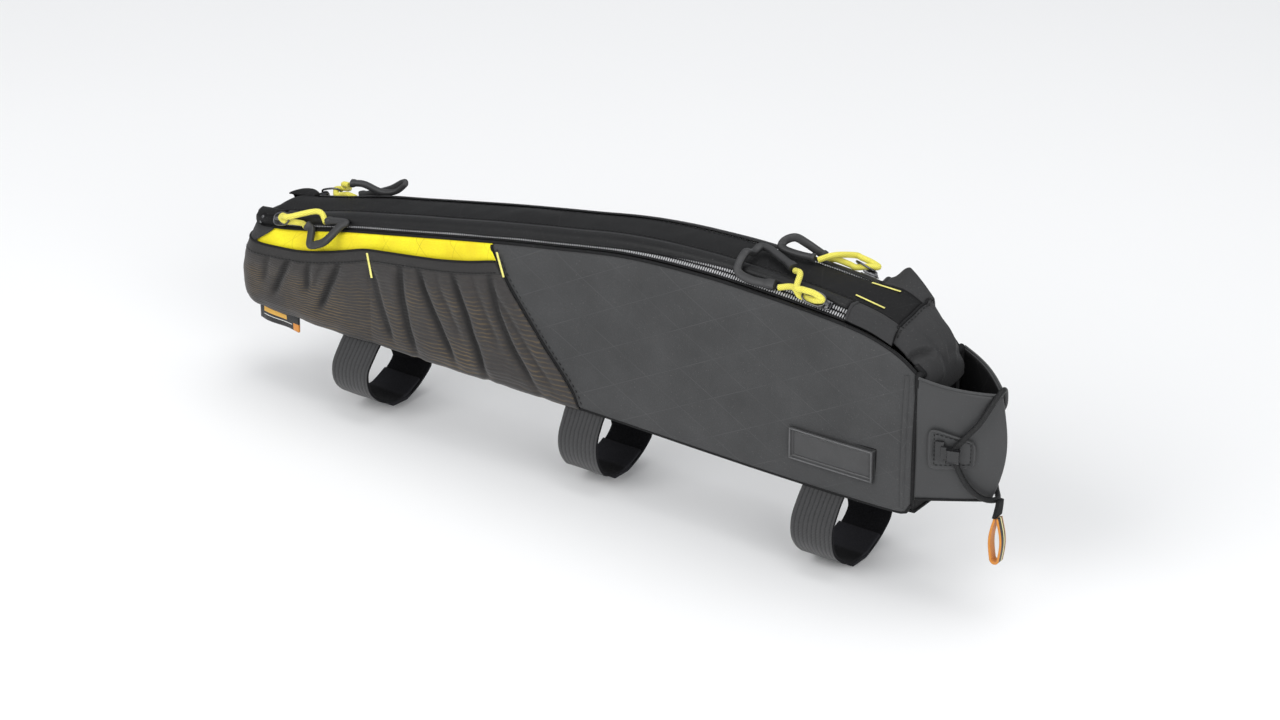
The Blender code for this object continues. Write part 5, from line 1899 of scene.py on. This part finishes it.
class TUBEBAG_OT_badge_and_label(Operator):
    """Builds the blank rubber badge with its raised border, a painted highlight along that border and a
    painted shadow line round its foot, and the sewn label with a plain stripe.
    """

    bl_idname = "tubebag.badge_and_label"
    bl_label = "Badge and Label"

    def execute(self, context):
        length, height, front, middle = 50 * MM, 18.5 * MM, 182 * MM, 23.5 * MM

        def badge(u, v):
            x = front - length * (1 - u)
            along = along_at(x)
            edge = min(u * length, (1 - u) * length, v * height, (1 - v) * height)
            ridge = 1.0 * MM * ease((2.0 * MM - edge) / (0.5 * MM)) * ease((edge + 0.2 * MM) / (0.7 * MM))
            inner = -0.35 * MM * bump_at(edge, 2.5 * MM, 0.35 * MM)
            z = middle + (v - 0.5) * height
            return side_point(RIGHT, along, z / seam_height(along), GAP + 1.5 * MM + ridge + inner)

        shape = grid(130, 52, badge, (length, height))
        add_piece("badge_blank", shape, finish("grey_rubber"), ["side_badge"], 1.5 * MM)

        def border(inset, lift):
            """A closed line round the badge, this far inside its edge."""
            line = []
            a, b = inset / length, inset / height
            corners = ((a, b), (1 - a, b), (1 - a, 1 - b), (a, 1 - b), (a, b))
            for (u0, v0), (u1, v1) in zip(corners, corners[1:]):
                for i in range(20):
                    x = front - length * (1 - mix(u0, u1, i / 20))
                    z = middle + (mix(v0, v1, i / 20) - 0.5) * height
                    line.append(side_point(RIGHT, along_at(x), z / seam_height(along_at(x)), lift))
            return line + [line[0]]

        # Painted highlight: a paler rubber rod along the crest of the raised border.
        crest = rod(border(1.0 * MM, GAP + 2.5 * MM), 0.42 * MM, 8, closed=True)
        add_piece("badge_crest", crest, finish("rubber_crest"), sharp=80)
        # Painted shadow: a black rod round the badge's foot, for the dark line where it meets the cloth.
        foot = rod(border(-0.35 * MM, 0.3 * MM), 0.5 * MM, 8, closed=True)
        add_piece("badge_foot", foot, finish("black_cloth"), sharp=80)

        def label(u, v):
            x = REAR_END + (9 + 31 * u) * MM
            along = along_at(x)
            y = -(half_width(max(along, CORNER_SHARE)) - 2 * MM - 3 * MM * (1 - u) ** 2)
            curl = 0.8 * MM * math.sin(2.2 * math.pi * u) * (1 - v)
            return Vector((x, y - curl, -GAP - 10.5 * MM * (1 - v)))

        shape = grid(40, 14, label, (31 * MM, 10.5 * MM))
        add_piece("label_sewn", shape, finish("label_cloth"), ["label_tab"], 1.2 * MM)
        return {"FINISHED"}


def over_bag(points, thickness, start):
    """Places over the bag for a cord, from x, y and clearance. Past the shoulder it hangs beside it."""
    route = []
    for x, y, clear in points:
        height, steep = deck(start + x * MM, y * MM)
        place = Vector((start + x * MM, y * MM, height + (thickness * 0.55 + (clear + 0.25) * MM) * steep))
        if abs(place.y) > SHOULDER:
            along = top_along(place.x)
            standing = GAP * 3 + 4.2 * MM + thickness / 2
            beside = half_width(along) * TOP_NARROWING + standing + abs(place.y) - SHOULDER
            place = Vector((place.x, math.copysign(beside, y), seam_height(along) + clear * MM))
        route.append(place)
    return route


class TUBEBAG_OT_zip_pulls(Operator):
    """Builds the four sliders with their wire rings, yellow cords and moulded handles."""

    bl_idname = "tubebag.zip_pulls"
    bl_label = "Zip Pulls"

    def execute(self, context):
        for pull in PULLS:
            self.build(pull)
        return {"FINISHED"}

    def build(self, pull):
        word = pull.word
        along = top_along(pull.slider)
        at = lane_point(pull.side, along, COIL_ACROSS, COIL_HEIGHT + GAP)
        ahead = lane_point(pull.side, along + 0.01, COIL_ACROSS, COIL_HEIGHT + GAP)
        up = (lane_point(pull.side, along, COIL_ACROSS, 10 * MM) - at).normalized()
        forward = (ahead - at).normalized() * pull.heading
        across = up.cross(forward * pull.heading)

        def placed(x, y, z):
            return at + forward * x + across * y + up * z

        shape = bmesh.new()
        for length, width, low, high, shift in (
            (9.0, 6.4, 0.0, 1.1, 0.0), (8.0, 5.6, 1.7, 2.6, 0.0), (2.0, 2.4, 0.9, 1.9, 1.6),
        ):
            made = bmesh.ops.create_cube(shape, size=1)["verts"]
            for vert in made:
                nose = 0.7 if vert.co.x < 0 and length > 5 else 1
                x = (vert.co.x * length - shift) * MM
                y = vert.co.y * width * nose * MM
                vert.co = placed(x, y, mix(low, high, vert.co.z + 0.5) * MM)
        soften_edges(shape, 0.35 * MM)
        add_piece(f"slider_body_{word}", shape, finish("dark_metal"), [f"slider_{word}"])
        arch = []
        for i in range(17):
            rise = 2.3 + 2.1 * math.sin(math.pi * i / 16)
            arch.append(placed((-3.2 + 6.4 * i / 16) * MM, 0, rise * MM))
        shape = rod(arch, 0.75 * MM, 8, flat=1.5)
        add_piece(f"slider_bridge_{word}", shape, finish("dark_metal"))

        lift = SLIDER_HEIGHT + RING_WIRE / 2 + GAP
        half_length, half_wide = RING_LENGTH / 2, RING_WIDTH / 2 - RING_WIRE / 2
        ring = []
        for step in range(48):
            turn = 2 * math.pi * step / 48
            c, s = math.cos(turn), math.sin(turn)
            x = half_length + half_length * math.copysign(abs(c) ** 0.8, c) - 2 * MM
            y = half_wide * math.copysign(abs(s) ** 0.7, s)
            ring.append(placed(x, y, lift + 1.8 * MM * max(x, 0) / RING_LENGTH))
        shape = rod(ring + [ring[0]], RING_WIRE * 0.38, 10, closed=True)
        add_piece(
            f"wire_ring_{word}", shape, finish("dark_metal"), [f"pull_ring_{word}"], sharp=80
        )

        bar_x = RING_LENGTH - 2 * MM
        bar_z = lift + 1.8 * MM * bar_x / RING_LENGTH
        clear = RING_WIRE / 2 + PULL_CORD / 2 + GAP
        reach = (12 if pull.heading < 0 else 4.6) * MM
        bight = [
            placed(bar_x + 3 * MM, 0.9 * MM, bar_z + clear + 0.5 * MM),
            placed(bar_x - 1 * MM, 0.9 * MM, bar_z + clear + 0.5 * MM),
            placed(bar_x - reach * 0.6, 1.2 * MM, bar_z + clear + 0.2 * MM),
            placed(bar_x - reach, 0, bar_z + clear * 0.6),
            placed(bar_x - reach * 0.6, -1.2 * MM, bar_z - 0.4 * MM),
            placed(bar_x - 1 * MM, -0.9 * MM, bar_z - clear - 0.2 * MM),
            placed(bar_x + 3 * MM, -0.9 * MM, bar_z - clear),
        ]
        first = over_bag(pull.cord_a, PULL_CORD, pull.slider)
        last = over_bag(pull.cord_b, PULL_CORD, pull.slider)
        cord = smooth_route(first + bight + last, 10)
        add_piece(
            f"loop_cord_{word}", rod(cord, PULL_CORD / 2, 14), finish("yellow_cord"),
            [f"pull_cord_{word}"], sharp=80,
        )
        handle = smooth_route(over_bag(pull.handle, HANDLE_THICKNESS, pull.slider), 10)

        def grip(share):
            from_end = min(share, 1 - share)
            collar = 0.22 * ease((0.045 - from_end) / 0.012)
            return 0.90 + collar

        shape = rod(handle, HANDLE_THICKNESS / 2, 20, flat=0.72, swell=grip, square=0.6)
        add_piece(
            f"loop_handle_{word}", shape, finish("handle_rubber"),
            [f"pull_handle_{word}"], sharp=80,
        )


class TUBEBAG_OT_stage(Operator):
    """Adds the pale floor, the soft studio lights and the camera."""

    bl_idname = "tubebag.stage"
    bl_label = "Stage"

    def execute(self, context):
        stage = context.scene.bag_stage
        shape = bmesh.new()
        bmesh.ops.create_grid(shape, x_segments=1, y_segments=1, size=6)
        floor_level = SOLIDS_BOX[0][2] - 0.2 * MM
        for vert in shape.verts:
            vert.co.z = floor_level
        mesh = bpy.data.meshes.new("floor")
        shape.to_mesh(mesh)
        shape.free()
        mesh.materials.append(finish("pale_floor"))
        floor = bpy.data.objects.new("floor", mesh)
        context.scene.collection.objects.link(floor)

        world = bpy.data.worlds.new("studio")
        world.use_nodes = True
        world.node_tree.nodes["Background"].inputs[0].default_value = (0.95, 0.97, 1.0, 1)
        world.node_tree.nodes["Background"].inputs[1].default_value = 0.52
        context.scene.world = world
        context.scene.view_settings.view_transform = "Standard"

        for name, spot, size, share in (
            ("key_light", (-0.5, -1.6, 1.3), 1.4, 1.0),
            ("front_light", (1.7, -0.9, 0.9), 1.2, 0.75),
            ("top_light", (0.1, 0.3, 1.9), 1.3, 0.55),
        ):
            data = bpy.data.lights.new(name, "AREA")
            data.energy = stage.light_watts * share * 2
            data.size = size
            made = bpy.data.objects.new(name, data)
            context.scene.collection.objects.link(made)
            made.location = spot
            made.rotation_euler = Vector(spot).to_track_quat("Z", "Y").to_euler()

        data = bpy.data.cameras.new("camera")
        data.sensor_width = 36
        data.lens = stage.lens
        data.clip_start = 0.05
        camera = bpy.data.objects.new("camera", data)
        context.scene.collection.objects.link(camera)
        a, e = stage.azimuth, stage.elevation
        back = Vector((math.sin(a) * math.cos(e), -math.cos(a) * math.cos(e), math.sin(e)))
        camera.location = Vector((0.0200, 0, 0.0261)) + back * stage.distance
        camera.rotation_euler = back.to_track_quat("Z", "Y").to_euler()
        context.scene.camera = camera
        return {"FINISHED"}


class TUBEBAG_PT_panel(Panel):
    """The bag's settings and the buttons that build its pieces."""

    bl_label = "Tube Bag"
    bl_idname = "TUBEBAG_PT_panel"
    bl_space_type = "VIEW_3D"
    bl_region_type = "UI"
    bl_category = "Tube Bag"

    def draw(self, context):
        layout = self.layout
        for settings in (context.scene.bag_colours, context.scene.bag_details, context.scene.bag_stage):
            box = layout.box()
            for key in settings.__annotations__:
                box.prop(settings, key)
        for operator in OPERATORS:
            layout.operator(operator.bl_idname)


OPERATORS = (
    TUBEBAG_OT_stage,
    TUBEBAG_OT_side_panels,
    TUBEBAG_OT_side_pocket,
    TUBEBAG_OT_top_and_zips,
    TUBEBAG_OT_zip_ends,
    TUBEBAG_OT_hood,
    TUBEBAG_OT_front_pocket,
    TUBEBAG_OT_elastic_cord,
    TUBEBAG_OT_straps,
    TUBEBAG_OT_badge_and_label,
    TUBEBAG_OT_zip_pulls,
)
CLASSES = (BagColours, BagDetails, BagStage, *OPERATORS, TUBEBAG_PT_panel)


def register():
    for cls in CLASSES:
        bpy.utils.register_class(cls)
    bpy.types.Scene.bag_colours = PointerProperty(type=BagColours)
    bpy.types.Scene.bag_details = PointerProperty(type=BagDetails)
    bpy.types.Scene.bag_stage = PointerProperty(type=BagStage)


def unregister():
    del bpy.types.Scene.bag_stage
    del bpy.types.Scene.bag_details
    del bpy.types.Scene.bag_colours
    for cls in reversed(CLASSES):
        bpy.utils.unregister_class(cls)


def main():
    register()
    for old in [o for o in bpy.data.objects if o.name in ("Cube", "Light", "Camera")]:
        bpy.data.objects.remove(old)
    bpy.ops.tubebag.stage()
    bpy.ops.tubebag.side_panels()
    bpy.ops.tubebag.side_pocket()
    bpy.ops.tubebag.top_and_zips()
    bpy.ops.tubebag.zip_ends()
    bpy.ops.tubebag.hood()
    bpy.ops.tubebag.front_pocket()
    bpy.ops.tubebag.elastic_cord()
    bpy.ops.tubebag.straps()
    bpy.ops.tubebag.badge_and_label()
    bpy.ops.tubebag.zip_pulls()


if __name__ == "__main__":
    main()
